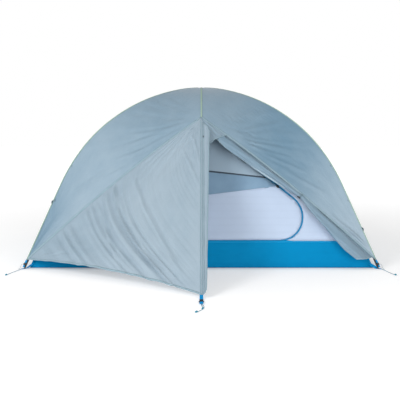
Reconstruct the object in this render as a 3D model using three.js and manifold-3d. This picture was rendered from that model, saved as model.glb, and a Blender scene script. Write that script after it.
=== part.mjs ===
// Three-person dome tent: two crossed arch poles, a short ridge pole, an inner tent on a tub floor,
// and a fly with a triangular vestibule on each long side. Millimetres, +Z up, origin on the ground
// at the middle of the floor. X runs along the long side, and the front vestibule points to -Y.
// The frame, the inner tent and the fly repeat under a half turn about Z, apart from the right-hand
// half of the front vestibule, which is rolled back to its seam and held by a toggle.
import * as THREE from 'three';
import { mergeVertices } from 'three/addons/utils/BufferGeometryUtils.js';
import Module from 'manifold-3d';

const wasm = await Module();
wasm.setup();

// ---- Driving dimensions ----
const GAP = 0.4;                    // clearance between pieces that touch
const HALF_LENGTH = 1120;           // pole plan direction, along X
const HALF_WIDTH = 890;             // pole plan direction, along Y
const PLAN = Math.hypot(HALF_LENGTH, HALF_WIDTH);
const UX = HALF_LENGTH / PLAN;
const UY = HALF_WIDTH / PLAN;

const POLE_TOP = 1193;              // height of the pole centreline at the hub
const CROWN_RADIUS = 1460;          // pole bend over the roof
const CROWN_ANGLE = THREE.MathUtils.degToRad(34);
const SHOULDER_RADIUS = 1150;       // tighter bend at the shoulder
const LEG_ANGLE = THREE.MathUtils.degToRad(62);
const POLE_R = 4.75;
const TIP_R = 6.2;
const TIP_LENGTH = 30;
const TIP_NOSE = 8;                 // narrow end of the tip, in the strap's grommet
const POLE_START = 6;               // first end of each arm, from the middle of the hub
const HUB_REACH = 44;
const HUB_R = 13;
const SOCKET_R = 8;                 // outside of the hub's four sockets
const SOCKET_ROOM = 1;              // clearance between a socket and its pole

const RIDGE_R = 4.25;               // ridge pole
const APEX = new THREE.Vector3(0, -560, 985);
const RIDGE_TOP = 1215;             // fly surface over the hub

const FABRIC = 2.4;                 // modelled thickness of a fabric panel
const FLY_INSIDE = 9;               // fly's inner face above the pole centreline
const FLY_OUTSIDE = 12;
const HUB_RISE = 10;                // extra height of the fly over the hub
const HUB_RISE_WIDTH = 250;
const HEM_HEIGHT = 55;              // fly hem at the corners

const STAKE = new THREE.Vector3(0, -1735, 18);
const STORM_FLAP = 33;              // how far the flap overlaps the zip at the bottom
const ZIP_HALF = 9;                 // half the width of the fly's zip tape

const FLOOR_X = 1108;
const FLOOR_Y = 862;
const TUB_TOP_X = 1052;
const TUB_TOP_Y = 842;
const TUB_HEIGHT = 170;
const TUB_SKIN = 2.5;

const INNER_HANG = 35;              // inner tent below the pole centreline
const WALL_TOP = 950;
const WALL_FOOT_Y = 836;            // inner face of the long walls at their foot

const DOOR_APEX = 932;              // D-door: peak, arc and hinge line, as heights and X distances
const DOOR_HINGE_X = 600;
const DOOR_ARC_X = 523;
const DOOR_ARC_Z = 325;
const DOOR_ARC_R = 148;
const SLIDER_AT = 515;              // the door's slider, as far from the middle as it is high
const ZIP_GAP = 3;

const STRAP_WIDTH = 20;
const STRAP_THICK = 1.8;
const CORNER_STRAP_THICK = 2.4;     // folded webbing under each pole tip
const GROMMET_R = 5;
const STRAP_PAST_FOOT = 20;
const CORD_R = 1.5;

const FLY_SLIDER = [24, 11, 3.4];   // length, width and height
const FRONT_SLIDER_AT = 190;        // down the zip line from the apex
const REAR_SLIDER_UP = 90;          // up the zip line from the stake point
const INNER_SLIDER = [30, 15, 6.5];
const BUCKLE_WIDTH = 28;
const BUCKLE_HEIGHT = 6.4;
const STAKE_BUCKLE_LENGTH = 22;
const STAKE_BUCKLE_HEIGHT = 7;

// ---- Colours ----
const FLY_GREY = 0xaebfca;
const TUB_BLUE = 0x0287bf;
const MESH_GREY = 0x8496a5;
const WALL_WHITE = 0xc4d2dd;
const POLE_LIME = 0xa9b83f;
const HUB_BLACK = 0x23262a;
const STRAP_BLUE = 0x1593cf;
const CORD_TEAL = 0x3d8f96;

const V = (x, y, z) => new THREE.Vector3(x, y, z);
const group = new THREE.Group();

function material(color, roughness, metalness = 0) {
  return new THREE.MeshStandardMaterial({ color, roughness, metalness });
}

function add(name, geometry, color, roughness = 0.8, metalness = 0) {
  const mesh = new THREE.Mesh(geometry, material(color, roughness, metalness));
  mesh.name = name;
  group.add(mesh);
  return mesh;
}

// ---- Solid builders ----
function signedVolume(points, faces) {
  const cross = new THREE.Vector3();
  return faces.reduce((sum, [a, b, c]) =>
    sum + points[a].dot(cross.crossVectors(points[b], points[c])), 0);
}

function solid(points, faces) {
  const inward = signedVolume(points, faces) < 0;
  const geometry = new THREE.BufferGeometry();
  const numbers = points.flatMap((p) => [p.x, p.y, p.z]);
  geometry.setAttribute('position', new THREE.Float32BufferAttribute(numbers, 3));
  geometry.setIndex(faces.flatMap(([a, b, c]) => (inward ? [a, c, b] : [a, b, c])));
  return geometry;
}

// A shell between two grids of points with the same rows and columns.
function shell(outer, inner) {
  const rows = outer.length;
  const cols = outer[0].length;
  const points = [...outer.flat(), ...inner.flat()];
  const at = (layer, r, c) => layer * rows * cols + r * cols + c;
  const faces = [];
  const quad = (a, b, c, d) => faces.push([a, b, c], [a, c, d]);
  for (let r = 0; r < rows - 1; r++) {
    for (let c = 0; c < cols - 1; c++) {
      quad(at(0, r, c), at(0, r, c + 1), at(0, r + 1, c + 1), at(0, r + 1, c));
      quad(at(1, r, c), at(1, r + 1, c), at(1, r + 1, c + 1), at(1, r, c + 1));
    }
    quad(at(0, r, 0), at(0, r + 1, 0), at(1, r + 1, 0), at(1, r, 0));
    quad(at(0, r + 1, cols - 1), at(0, r, cols - 1), at(1, r, cols - 1), at(1, r + 1, cols - 1));
  }
  for (let c = 0; c < cols - 1; c++) {
    quad(at(0, 0, c + 1), at(0, 0, c), at(1, 0, c), at(1, 0, c + 1));
    quad(at(0, rows - 1, c), at(0, rows - 1, c + 1), at(1, rows - 1, c + 1), at(1, rows - 1, c));
  }
  return solid(points, faces);
}

// A solid through closed rings of points, capped at both ends.
function loft(rings) {
  const n = rings[0].length;
  const points = rings.flat();
  const faces = [];
  for (let r = 0; r < rings.length - 1; r++) {
    for (let i = 0; i < n; i++) {
      const j = (i + 1) % n;
      const [low, high] = [r * n, (r + 1) * n];
      faces.push([low + i, low + j, high + j], [low + i, high + j, high + i]);
    }
  }
  for (let i = 1; i < n - 1; i++) {
    const last = (rings.length - 1) * n;
    faces.push([0, i + 1, i], [last, last + i, last + i + 1]);
  }
  return solid(points, faces);
}

// The half turn about Z that makes the rear from the front.
function halfTurn(geometry) {
  return geometry.clone().rotateZ(Math.PI);
}

function mirrorX(geometry) {
  const mirrored = geometry.clone().scale(-1, 1, 1);
  const inOrder = Array.from({ length: mirrored.attributes.position.count }, (_, i) => i);
  const order = mirrored.index ? [...mirrored.index.array] : inOrder;
  for (let i = 0; i < order.length; i += 3) {
    [order[i], order[i + 1]] = [order[i + 1], order[i]];
  }
  mirrored.setIndex(order);
  return mirrored;
}

// Places a geometry whose own X and Y lie along two given directions, at right angles.
function place(geometry, origin, x, y) {
  const basis = new THREE.Matrix4().makeBasis(x, y, x.clone().cross(y)).setPosition(origin);
  return geometry.applyMatrix4(basis);
}

function extrude(outline, depth, holes = []) {
  const shape = new THREE.Shape(outline);
  shape.holes.push(...holes);
  return new THREE.ExtrudeGeometry(shape, { depth, bevelEnabled: false, curveSegments: 12 });
}

function circle(radius, sides) {
  const step = (2 * Math.PI) / sides;
  return Array.from({ length: sides }, (_, i) =>
    new THREE.Vector2(radius * Math.cos(i * step), radius * Math.sin(i * step)));
}

function tube(curve, radius, steps, sides = 8) {
  const shape = new THREE.Shape(circle(radius, sides));
  return new THREE.ExtrudeGeometry(shape, { extrudePath: curve, steps, bevelEnabled: false });
}

function asManifold(geometry) {
  const merged = geometry.clone();
  merged.deleteAttribute('normal');
  merged.deleteAttribute('uv');
  const clean = mergeVertices(merged, 1e-3);
  return new wasm.Manifold(new wasm.Mesh({
    numProp: 3,
    vertProperties: new Float32Array(clean.attributes.position.array),
    triVerts: new Uint32Array(clean.index.array),
  }));
}

function fromManifold(manifold) {
  const mesh = manifold.getMesh();
  const geometry = new THREE.BufferGeometry();
  geometry.setAttribute('position', new THREE.BufferAttribute(mesh.vertProperties, 3));
  geometry.setIndex(new THREE.BufferAttribute(mesh.triVerts, 1));
  return geometry;
}

// ---- Pole line: a crown arc, a shoulder arc and a straight leg, in the vertical diagonal plane ----
const SHOULDER_START = CROWN_RADIUS * CROWN_ANGLE;
const LEG_START = SHOULDER_START + SHOULDER_RADIUS * (LEG_ANGLE - CROWN_ANGLE);
const SHOULDER_S = CROWN_RADIUS * Math.sin(CROWN_ANGLE);
const SHOULDER_Z = POLE_TOP - CROWN_RADIUS * (1 - Math.cos(CROWN_ANGLE));
const LEG_S = SHOULDER_S + SHOULDER_RADIUS * (Math.sin(LEG_ANGLE) - Math.sin(CROWN_ANGLE));
const LEG_Z = SHOULDER_Z - SHOULDER_RADIUS * (Math.cos(CROWN_ANGLE) - Math.cos(LEG_ANGLE));
const FOOT_S = LEG_S + LEG_Z / Math.tan(LEG_ANGLE);
const LINE_LENGTH = LEG_START + LEG_Z / Math.sin(LEG_ANGLE);

// Plan distance, height and slope at a length along the pole line from the hub.
function poleLine(length) {
  if (length < SHOULDER_START) {
    const angle = length / CROWN_RADIUS;
    return { s: CROWN_RADIUS * Math.sin(angle), z: POLE_TOP - CROWN_RADIUS * (1 - Math.cos(angle)), angle };
  }
  if (length < LEG_START) {
    const angle = CROWN_ANGLE + (length - SHOULDER_START) / SHOULDER_RADIUS;
    return {
      s: SHOULDER_S + SHOULDER_RADIUS * (Math.sin(angle) - Math.sin(CROWN_ANGLE)),
      z: SHOULDER_Z - SHOULDER_RADIUS * (Math.cos(CROWN_ANGLE) - Math.cos(angle)),
      angle,
    };
  }
  const run = length - LEG_START;
  return { s: LEG_S + run * Math.cos(LEG_ANGLE), z: LEG_Z - run * Math.sin(LEG_ANGLE), angle: LEG_ANGLE };
}

// The same line moved outward by an offset, in its own plane.
function offsetLine(length, offset) {
  const { s, z, angle } = poleLine(length);
  return { s: s + offset * Math.sin(angle), z: z + offset * Math.cos(angle) };
}

function onDiagonal({ s, z }, sx, sy) {
  return V(sx * s * UX, sy * s * UY, z);
}

// Length along the pole line where the offset line is at a height.
function lengthAtHeight(height, offset) {
  let low = 0;
  let high = LINE_LENGTH;
  for (let i = 0; i < 40; i++) {
    const middle = (low + high) / 2;
    if (offsetLine(middle, offset).z > height) low = middle;
    else high = middle;
  }
  return low;
}

class PoleCurve extends THREE.Curve {
  constructor(sx, sy, start, end) {
    super();
    Object.assign(this, { sx, sy, start, end });
  }

  getPoint(t) {
    return onDiagonal(poleLine(this.start + t * (this.end - this.start)), this.sx, this.sy);
  }
}

const CORNERS = [
  ['front_left', -1, -1], ['front_right', 1, -1], ['rear_right', 1, 1], ['rear_left', -1, 1],
];
const LEG_DOWN = { s: Math.cos(LEG_ANGLE), z: -Math.sin(LEG_ANGLE) };
const TIP_TOP = LINE_LENGTH - TIP_LENGTH - TIP_NOSE;

function poles() {
  const profile = [[0, -TIP_NOSE], [2, -TIP_NOSE], [2.2, -1], [TIP_R, 0], [TIP_R, TIP_LENGTH],
    [0, TIP_LENGTH]];
  const tip = new THREE.LatheGeometry(profile.map(([x, y]) => new THREE.Vector2(x, y)), 12);
  for (const [corner, sx, sy] of CORNERS) {
    const arm = tube(new PoleCurve(sx, sy, POLE_START, TIP_TOP - GAP), POLE_R, 36);
    add(`main_pole_${corner}`, arm, POLE_LIME, 0.35, 0.6);
    const up = V(-sx * LEG_DOWN.s * UX, -sy * LEG_DOWN.s * UY, -LEG_DOWN.z);
    const turn = new THREE.Quaternion().setFromUnitVectors(V(0, 1, 0), up);
    const foot = add(`pole_tip_${corner}`, tip.clone(), HUB_BLACK, 0.5);
    foot.quaternion.copy(turn);
    foot.position.copy(onDiagonal(poleLine(LINE_LENGTH - TIP_NOSE), sx, sy));
  }
}

// ---- Ridge pole: an arc over the hub, from apex to apex ----
const RIDGE_RADIUS = (APEX.y ** 2 + (RIDGE_TOP - APEX.z) ** 2) / (2 * (RIDGE_TOP - APEX.z));
const RIDGE_HALF_ANGLE = Math.asin(-APEX.y / RIDGE_RADIUS);
const RIDGE_POLE_DROP = 9;          // ridge pole centreline below the fly's outer face

function ridgeArc(angle, drop, x = 0) {
  const radius = RIDGE_RADIUS - drop;
  return V(x, -radius * Math.sin(angle), RIDGE_TOP - RIDGE_RADIUS + radius * Math.cos(angle));
}

class RidgeCurve extends THREE.Curve {
  getPoint(t) {
    return ridgeArc((2 * t - 1) * (RIDGE_HALF_ANGLE - 0.02), RIDGE_POLE_DROP);
  }
}

function hub() {
  const rod = (radius, from, to, sides) => {
    const axis = to.clone().sub(from);
    const rodGeometry = new THREE.CylinderGeometry(radius, radius, axis.length(), sides);
    const turn = new THREE.Quaternion().setFromUnitVectors(V(0, 1, 0), axis.normalize());
    const middle = from.clone().add(to).multiplyScalar(0.5);
    return rodGeometry.applyQuaternion(turn).translate(...middle.toArray());
  };
  let body = asManifold(rod(HUB_R, V(0, 0, POLE_TOP - 8), V(0, 0, POLE_TOP + 8), 24));
  const saddle = new THREE.BoxGeometry(15, 22, 14).translate(0, 0, POLE_TOP + 10);
  body = body.add(asManifold(saddle));
  const onPole = (s) => ({ s, z: POLE_TOP - s ** 2 / (2 * CROWN_RADIUS) });
  for (const [, sx, sy] of CORNERS) {
    const end = onDiagonal(onPole(HUB_REACH), sx, sy);
    body = body.add(asManifold(rod(SOCKET_R, V(0, 0, POLE_TOP), end, 16)));
  }
  for (const [, sx, sy] of CORNERS) {
    const start = onDiagonal({ s: POLE_START - GAP, z: POLE_TOP }, sx, sy);
    const end = onDiagonal(onPole(HUB_REACH + 16), sx, sy);
    body = body.subtract(asManifold(rod(POLE_R + SOCKET_ROOM, start, end, 16)));
  }
  const channel = RIDGE_TOP - RIDGE_POLE_DROP;
  body = body.subtract(asManifold(rod(RIDGE_R + 0.8, V(0, -40, channel), V(0, 40, channel), 16)));
  const mouth = new THREE.BoxGeometry(2 * RIDGE_R - 0.5, 80, 20).translate(0, 0, channel + 10);
  return fromManifold(body.subtract(asManifold(mouth)));
}

// ---- Fly ----
const FLY_END = lengthAtHeight(HEM_HEIGHT, FLY_OUTSIDE);
const hubRise = (s) => HUB_RISE * Math.exp(-((s / HUB_RISE_WIDTH) ** 2));

function flyRidge(t, offset, sx, sy) {
  const length = t * FLY_END;
  return onDiagonal(offsetLine(length, offset + hubRise(poleLine(length).s)), sx, sy);
}

function flyEnd(sx) {
  const rows = 24;
  const cols = 8;
  const layer = (offset) => Array.from({ length: rows + 1 }, (_, r) =>
    Array.from({ length: cols + 1 }, (_, c) => {
      const across = (2 * c) / cols - 1;
      const arch = 0.015 * (1 - across ** 2);
      const t = 0.006 + (1 - 0.006 - arch) * (r / rows);
      const point = flyRidge(t, offset, sx, 1);
      point.y = across * (point.y - GAP);
      return point;
    }));
  return shell(layer(FLY_OUTSIDE), layer(FLY_INSIDE));
}

const CORNER = flyRidge(1, FLY_OUTSIDE, -1, -1);
const SEAM = CORNER.clone().sub(APEX).normalize();
const FLAP_NORMAL = STAKE.clone().sub(APEX).cross(SEAM).normalize().negate();
const ZIP_LINE = STAKE.clone().sub(APEX).normalize();

// Roof patch between the ridge, the pole line and the seam, at the front left.
function flyRoof(sx) {
  const rows = 18;
  const cols = 8;
  const layer = (offset, drop) => {
    const ridge = (v) => ridgeArc(v * RIDGE_HALF_ANGLE, drop, -GAP);
    const seamStart = APEX.clone().addScaledVector(FLAP_NORMAL, -drop).setX(-GAP);
    const seamEnd = CORNER.clone().addScaledVector(FLAP_NORMAL, -drop);
    return Array.from({ length: rows + 1 }, (_, r) =>
      Array.from({ length: cols + 1 }, (_, c) => {
        const t = 0.985 * (r / rows);
        const v = c / cols;
        const pole = flyRidge(t, offset, -1, -1);
        const seam = seamStart.clone().lerp(seamEnd, t);
        const ridgeBow = ridge(v).sub(flyRidge(0, offset, -1, -1).setX(-GAP).lerp(seamStart, v));
        pole.lerp(seam, v).addScaledVector(ridgeBow, (1 - t) ** 1.5);
        return pole.setX(Math.min(pole.x, -GAP));
      }));
  };
  const patch = shell(layer(FLY_OUTSIDE, 0), layer(FLY_INSIDE, FLY_OUTSIDE - FLY_INSIDE));
  return sx < 0 ? patch : mirrorX(patch);
}

// A vestibule half lies in one plane: along runs down the zip line, across runs from it to the seam.
const ACROSS = ZIP_LINE.clone().cross(FLAP_NORMAL).normalize();
const ALONG_END = STAKE.clone().sub(APEX).length();
const seamAngle = ZIP_LINE.angleTo(SEAM);
const SEAM_LENGTH = CORNER.distanceTo(APEX);

// The front left half, in its own plane. The storm flap is the part beyond the zip line.
function vestibuleHalf(stormFlap) {
  const fold = (along, across) => new THREE.Vector2(along, across);
  const seamPoint = (length, inset) => fold(
    length * Math.cos(seamAngle) + inset * Math.sin(seamAngle),
    length * Math.sin(seamAngle) - inset * Math.cos(seamAngle),
  );
  const corner = seamPoint(SEAM_LENGTH - 20, 4);
  const tip = fold(ALONG_END - 12, 20);
  const rise = fold(corner.y - tip.y, tip.x - corner.x).normalize().multiplyScalar(-45);
  const middle = corner.clone().add(tip).multiplyScalar(0.5).add(rise);
  const hem = new THREE.QuadraticBezierCurve(corner, middle, tip);
  const outline = [seamPoint(30, 4), ...hem.getPoints(10)];
  if (stormFlap) {
    outline.push(fold(ALONG_END - 12, -9), fold(ALONG_END - 60, -STORM_FLAP), fold(300, -56));
    outline.push(fold(160, -62), fold(110, -45), fold(70, -12), fold(26, 3));
  } else {
    outline.push(fold(ALONG_END - 12, ZIP_HALF), fold(30, ZIP_HALF));
  }
  return place(extrude(outline, FABRIC), APEX, ZIP_LINE, ACROSS);
}

// The front slider runs under the storm flap, beside the zip line.
function frontFlySlider() {
  const centre = APEX.clone().addScaledVector(ZIP_LINE, FRONT_SLIDER_AT)
    .addScaledVector(ACROSS, -STORM_FLAP / 2 + 0.5)
    .addScaledVector(FLAP_NORMAL, -(FABRIC + FLY_SLIDER[2] / 2 + 0.5));
  return place(new THREE.BoxGeometry(...FLY_SLIDER), centre, ZIP_LINE, ACROSS);
}

// The rear slider runs on the zip line, between the two halves.
function rearFlySlider() {
  const centre = APEX.clone().addScaledVector(ZIP_LINE, ALONG_END - REAR_SLIDER_UP);
  return halfTurn(place(new THREE.BoxGeometry(...FLY_SLIDER), centre, ZIP_LINE, V(-1, 0, 0)));
}

// The rolled right-hand half: a tapered roll under its seam, pinched where the tie holds it.
const ROLL_POINTS = [[0.1, 7], [0.2, 26], [0.34, 40], [0.46, 38], [0.555, 25], [0.575, 24], [0.595, 25],
  [0.68, 33], [0.8, 33], [0.9, 27], [0.955, 20], [0.965, 12]];
const TIE_AT = 0.575;
const TIE_RADIUS = 24;
const RIGHT = V(-1, 1, 1);
const SEAM_RIGHT = SEAM.clone().multiply(RIGHT);
const ROLL_SIDE = ZIP_LINE.clone().addScaledVector(SEAM_RIGHT, -ZIP_LINE.dot(SEAM_RIGHT)).normalize();

function rollCentre(share, radius) {
  return APEX.clone().addScaledVector(SEAM_RIGHT, share * SEAM_LENGTH)
    .addScaledVector(ROLL_SIDE, radius + 5);
}

function rolledDoor() {
  const second = SEAM_RIGHT.clone().cross(ROLL_SIDE).normalize();
  return loft(ROLL_POINTS.map(([share, radius]) => circle(radius, 14).map((p) =>
    rollCentre(share, radius).addScaledVector(ROLL_SIDE, p.x).addScaledVector(second, p.y))));
}

function doorTie() {
  const half = 6;
  const [inside, outside] = [TIE_RADIUS + 1.4, TIE_RADIUS + 3];
  const profile = [[inside, -half], [outside, -half], [outside, half], [inside, half], [inside, -half]];
  const ring = new THREE.LatheGeometry(profile.map(([x, y]) => new THREE.Vector2(x, y)), 20);
  const turn = new THREE.Quaternion().setFromUnitVectors(V(0, 1, 0), SEAM_RIGHT);
  return ring.applyQuaternion(turn).translate(...rollCentre(TIE_AT, TIE_RADIUS).toArray());
}

const TOGGLE_OUT = V(0, -0.86, 0.51).normalize();
const TOGGLE_AT = rollCentre(TIE_AT, TIE_RADIUS).addScaledVector(TOGGLE_OUT, TIE_RADIUS + 9);

function doorToggle() {
  const profile = [[0, -17], [2.6, -16.2], [4, -13], [4, 13], [2.6, 16.2], [0, 17]];
  const peg = new THREE.LatheGeometry(profile.map(([x, y]) => new THREE.Vector2(x, y)), 10);
  const lie = SEAM_RIGHT.clone().addScaledVector(TOGGLE_OUT, -SEAM_RIGHT.dot(TOGGLE_OUT)).normalize();
  const turn = new THREE.Quaternion().setFromUnitVectors(V(0, 1, 0), lie);
  return peg.applyQuaternion(turn).translate(...TOGGLE_AT.toArray());
}

// ---- Straps, buckles and cords ----
function slottedBuckle(length, width, height) {
  const hole = new THREE.Path([
    new THREE.Vector2(-STRAP_WIDTH / 2 - 0.8, -STRAP_THICK / 2 - 0.5),
    new THREE.Vector2(STRAP_WIDTH / 2 + 0.8, -STRAP_THICK / 2 - 0.5),
    new THREE.Vector2(STRAP_WIDTH / 2 + 0.8, STRAP_THICK / 2 + 0.5),
    new THREE.Vector2(-STRAP_WIDTH / 2 - 0.8, STRAP_THICK / 2 + 0.5),
  ]);
  const outline = [[-1, -1], [1, -1], [1, 1], [-1, 1]]
    .map(([x, y]) => new THREE.Vector2((x * width) / 2, (y * height) / 2));
  return extrude(outline, length, [hole]).translate(0, 0, -length / 2);
}

const FLY_STRAP_OFFSET = 11;        // the fly's corner strap carries on down its pole line
const FLY_STRAP_TOP = lengthAtHeight(HEM_HEIGHT - 4, FLY_STRAP_OFFSET);
const FLY_STRAP_LENGTH = 44;
const BUCKLE_LENGTH = 14;
const BUCKLE_AT = 22;

function cornerStrapOnFly(sx, sy) {
  const top = onDiagonal(offsetLine(FLY_STRAP_TOP, FLY_STRAP_OFFSET), sx, sy);
  const down = V(sx * LEG_DOWN.s * UX, sy * LEG_DOWN.s * UY, LEG_DOWN.z);
  const sideways = V(-sy * UY, sx * UX, 0);
  return { top, down, sideways };
}

function corners() {
  for (const [corner, sx, sy] of CORNERS) {
    const { top, down, sideways } = cornerStrapOnFly(sx, sy);
    const strap = new THREE.BoxGeometry(STRAP_WIDTH, STRAP_THICK, FLY_STRAP_LENGTH)
      .translate(0, 0, FLY_STRAP_LENGTH / 2);
    const side = down.clone().cross(sideways);
    add(`fly_corner_strap_${corner}`, place(strap, top, sideways, side), STRAP_BLUE);
    const buckle = slottedBuckle(BUCKLE_LENGTH, BUCKLE_WIDTH, BUCKLE_HEIGHT).translate(0, 0, BUCKLE_AT);
    add(`corner_buckle_${corner}`, place(buckle, top, sideways, side), HUB_BLACK, 0.5);

    const out = V(sx * UX, sy * UY, 0);
    const start = Math.hypot(FLOOR_X, FLOOR_Y) + 4;
    const end = FOOT_S + STRAP_PAST_FOOT;
    const foot = new THREE.Vector2(FOOT_S - start, 0);
    const hole = new THREE.Path(circle(GROMMET_R, 12).map((p) => p.add(foot)));
    const half = STRAP_WIDTH / 2;
    const tab = [[0, -half], [end - start, -half], [end - start, half], [0, half]]
      .map(([x, y]) => new THREE.Vector2(x, y));
    const lying = place(extrude(tab, CORNER_STRAP_THICK, [hole]),
      out.clone().multiplyScalar(start).setZ(GAP), out, sideways);
    add(`corner_strap_${corner}`, lying, STRAP_BLUE);
  }
}

const CORD_HEIGHT = CORD_R + 0.2;
const CORD_START = FOOT_S + STRAP_PAST_FOOT + CORD_R + GAP;
const CORNER_CORDS = {
  front_left: [[-1168, -948], [-1184, -1002], [-1201, -1066], [-1207, -1100], [-1213, -1130]],
  front_right: [[1172, -946], [1180, -998], [1190, -1058], [1199, -1096], [1207, -1130]],
  rear_right: [[1170, 948], [1188, 1000], [1196, 1060], [1206, 1102], [1210, 1132]],
  rear_left: [[-1173, 948], [-1182, 1004], [-1198, 1064], [-1203, 1098], [-1210, 1130]],
};
const STAKE_CORD = [[0, -1898], [2, -1922], [7, -1958], [4, -1996], [-12, -2030], [-27, -2055]];

function cordAlong(points) {
  const route = points.map(([x, y]) => V(x, y, CORD_HEIGHT));
  const curve = new THREE.CatmullRomCurve3(route, false, 'centripetal');
  return tube(curve, CORD_R, Math.round(curve.getLength() / (5 * CORD_R)));
}

function cornerCords() {
  for (const [corner, sx, sy] of CORNERS) {
    const first = [sx * CORD_START * UX, sy * CORD_START * UY];
    add(`stake_cord_${corner}`, cordAlong([first, ...CORNER_CORDS[corner]]), CORD_TEAL);
  }
}

const STAKE_STRAP_Z = 6;
const STAKE_STRAP_START = -STAKE.y + 8;
const STAKE_STRAP_END = 1897.5;
const STAKE_BUCKLE_AT = 1850;

function stakePoint(name, turned) {
  const turn = turned ? halfTurn : (geometry) => geometry;
  const length = STAKE_STRAP_END - STAKE_STRAP_START;
  const strap = new THREE.BoxGeometry(STRAP_WIDTH, length, STRAP_THICK)
    .translate(0, -(STAKE_STRAP_START + length / 2), STAKE_STRAP_Z);
  add(`stake_strap_${name}`, turn(strap), STRAP_BLUE);
  const buckle = slottedBuckle(STAKE_BUCKLE_LENGTH, BUCKLE_WIDTH, STAKE_BUCKLE_HEIGHT);
  const placed = place(buckle, V(0, -STAKE_BUCKLE_AT, STAKE_STRAP_Z), V(1, 0, 0), V(0, 0, 1));
  add(`stake_buckle_${name}`, turn(placed), HUB_BLACK, 0.5);
  add(`stake_cord_${name}`, turn(cordAlong(STAKE_CORD)), CORD_TEAL);
}

function fly() {
  add('fly_end_left', flyEnd(-1), FLY_GREY);
  add('fly_end_right', flyEnd(1), FLY_GREY);
  add('fly_roof_front_left', flyRoof(-1), FLY_GREY);
  add('fly_roof_front_right', flyRoof(1), FLY_GREY);
  add('fly_roof_rear_right', halfTurn(flyRoof(-1)), FLY_GREY);
  add('fly_roof_rear_left', halfTurn(flyRoof(1)), FLY_GREY);
  add('vestibule_flap_front_left', vestibuleHalf(true), FLY_GREY);
  add('vestibule_flap_rear_right', halfTurn(vestibuleHalf(false)), FLY_GREY);
  add('vestibule_flap_rear_left', halfTurn(mirrorX(vestibuleHalf(false))), FLY_GREY);
  add('rolled_door', rolledDoor(), FLY_GREY);
  add('door_tie', doorTie(), HUB_BLACK);
  add('door_toggle', doorToggle(), HUB_BLACK, 0.5);
  add('fly_slider_front', frontFlySlider(), HUB_BLACK, 0.4);
  add('fly_slider_rear', rearFlySlider(), HUB_BLACK, 0.4);
}

// ---- Inner tent ----
const INNER_TOP = lengthAtHeight(WALL_TOP, -INNER_HANG);

// Half-length of the inner tent at a height, from the pole line it hangs under.
function innerHalfLength(height) {
  return offsetLine(lengthAtHeight(height, -INNER_HANG), -INNER_HANG).s * UX;
}

const WALL_HEAD_Y = offsetLine(INNER_TOP, -INNER_HANG).s * UY;
const WALL_RUN = WALL_FOOT_Y - WALL_HEAD_Y;
const WALL_SLOPE = Math.hypot(WALL_RUN, WALL_TOP - TUB_HEIGHT) / (WALL_TOP - TUB_HEIGHT);
const wallY = (height) => WALL_FOOT_Y - (WALL_RUN * (height - TUB_HEIGHT)) / (WALL_TOP - TUB_HEIGHT);

function floorTub() {
  const rect = (x, y, z) => [V(-x, -y, z), V(x, -y, z), V(x, y, z), V(-x, y, z)];
  return loft([
    rect(FLOOR_X, FLOOR_Y, 0),
    rect(TUB_TOP_X, TUB_TOP_Y, TUB_HEIGHT),
    rect(TUB_TOP_X - TUB_SKIN, TUB_TOP_Y - TUB_SKIN, TUB_HEIGHT),
    rect(FLOOR_X - TUB_SKIN, FLOOR_Y - TUB_SKIN, TUB_SKIN),
  ]);
}

function endWall(sx) {
  const rows = 10;
  const layer = (inset) => Array.from({ length: rows + 1 }, (_, r) => {
    const height = TUB_HEIGHT + GAP + ((WALL_TOP - TUB_HEIGHT - 2 * GAP) * r) / rows;
    const x = sx * (innerHalfLength(height) - inset);
    const y = wallY(height) - 5;
    return [V(x, -y, height), V(x, y, height)];
  });
  return shell(layer(0), layer(FABRIC));
}

function roofMesh() {
  const rings = 8;
  const ring = (share, inset) => {
    const { s, z } = offsetLine(INNER_TOP * share, -INNER_HANG - inset);
    return [V(-s * UX, -s * UY, z), V(s * UX, -s * UY, z), V(s * UX, s * UY, z), V(-s * UX, s * UY, z)];
  };
  const shares = Array.from({ length: rings }, (_, i) => (i + 1) / rings);
  const outer = shares.map((share) => ring(share, 0)).reverse();
  const inner = shares.map((share) => ring(share, FABRIC));
  return loft([...inner, ...outer]).translate(0, 0, FABRIC + GAP);
}

// Wall pieces are drawn flat, as X against height, and laid on the wall's slope.
function onWall(outline) {
  const drawn = outline.map((p) => new THREE.Vector2(p.x, (p.y - TUB_HEIGHT) * WALL_SLOPE));
  const up = V(0, WALL_RUN, WALL_TOP - TUB_HEIGHT).normalize();
  return place(extrude(drawn, FABRIC), V(0, -WALL_FOOT_Y, TUB_HEIGHT), V(1, 0, 0), up);
}

const ZIP_FALL = Math.atan2(DOOR_APEX - SLIDER_AT, SLIDER_AT);
const ARC_TOP = Math.PI / 2 - ZIP_FALL;

function doorArc(radius) {
  const points = 10;
  return Array.from({ length: points + 1 }, (_, i) => {
    const angle = ARC_TOP - ((ARC_TOP + Math.PI / 2) * i) / points;
    return new THREE.Vector2(DOOR_ARC_X + radius * Math.cos(angle), DOOR_ARC_Z + radius * Math.sin(angle));
  });
}

function wallEdge(sign) {
  const points = 8;
  return Array.from({ length: points + 1 }, (_, i) => {
    const height = TUB_HEIGHT + GAP + ((WALL_TOP - TUB_HEIGHT - 2 * GAP) * i) / points;
    return new THREE.Vector2(sign * (innerHalfLength(height) - 5), height);
  });
}

const WALL_BASE = TUB_HEIGHT + GAP;
const WALL_HEAD = WALL_TOP - GAP;
const point = (x, y) => new THREE.Vector2(x, y);

function innerDoor() {
  return onWall([point(-DOOR_HINGE_X + 8, WALL_BASE + 3), point(0, DOOR_APEX - 12),
    ...doorArc(DOOR_ARC_R)]);
}

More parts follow.
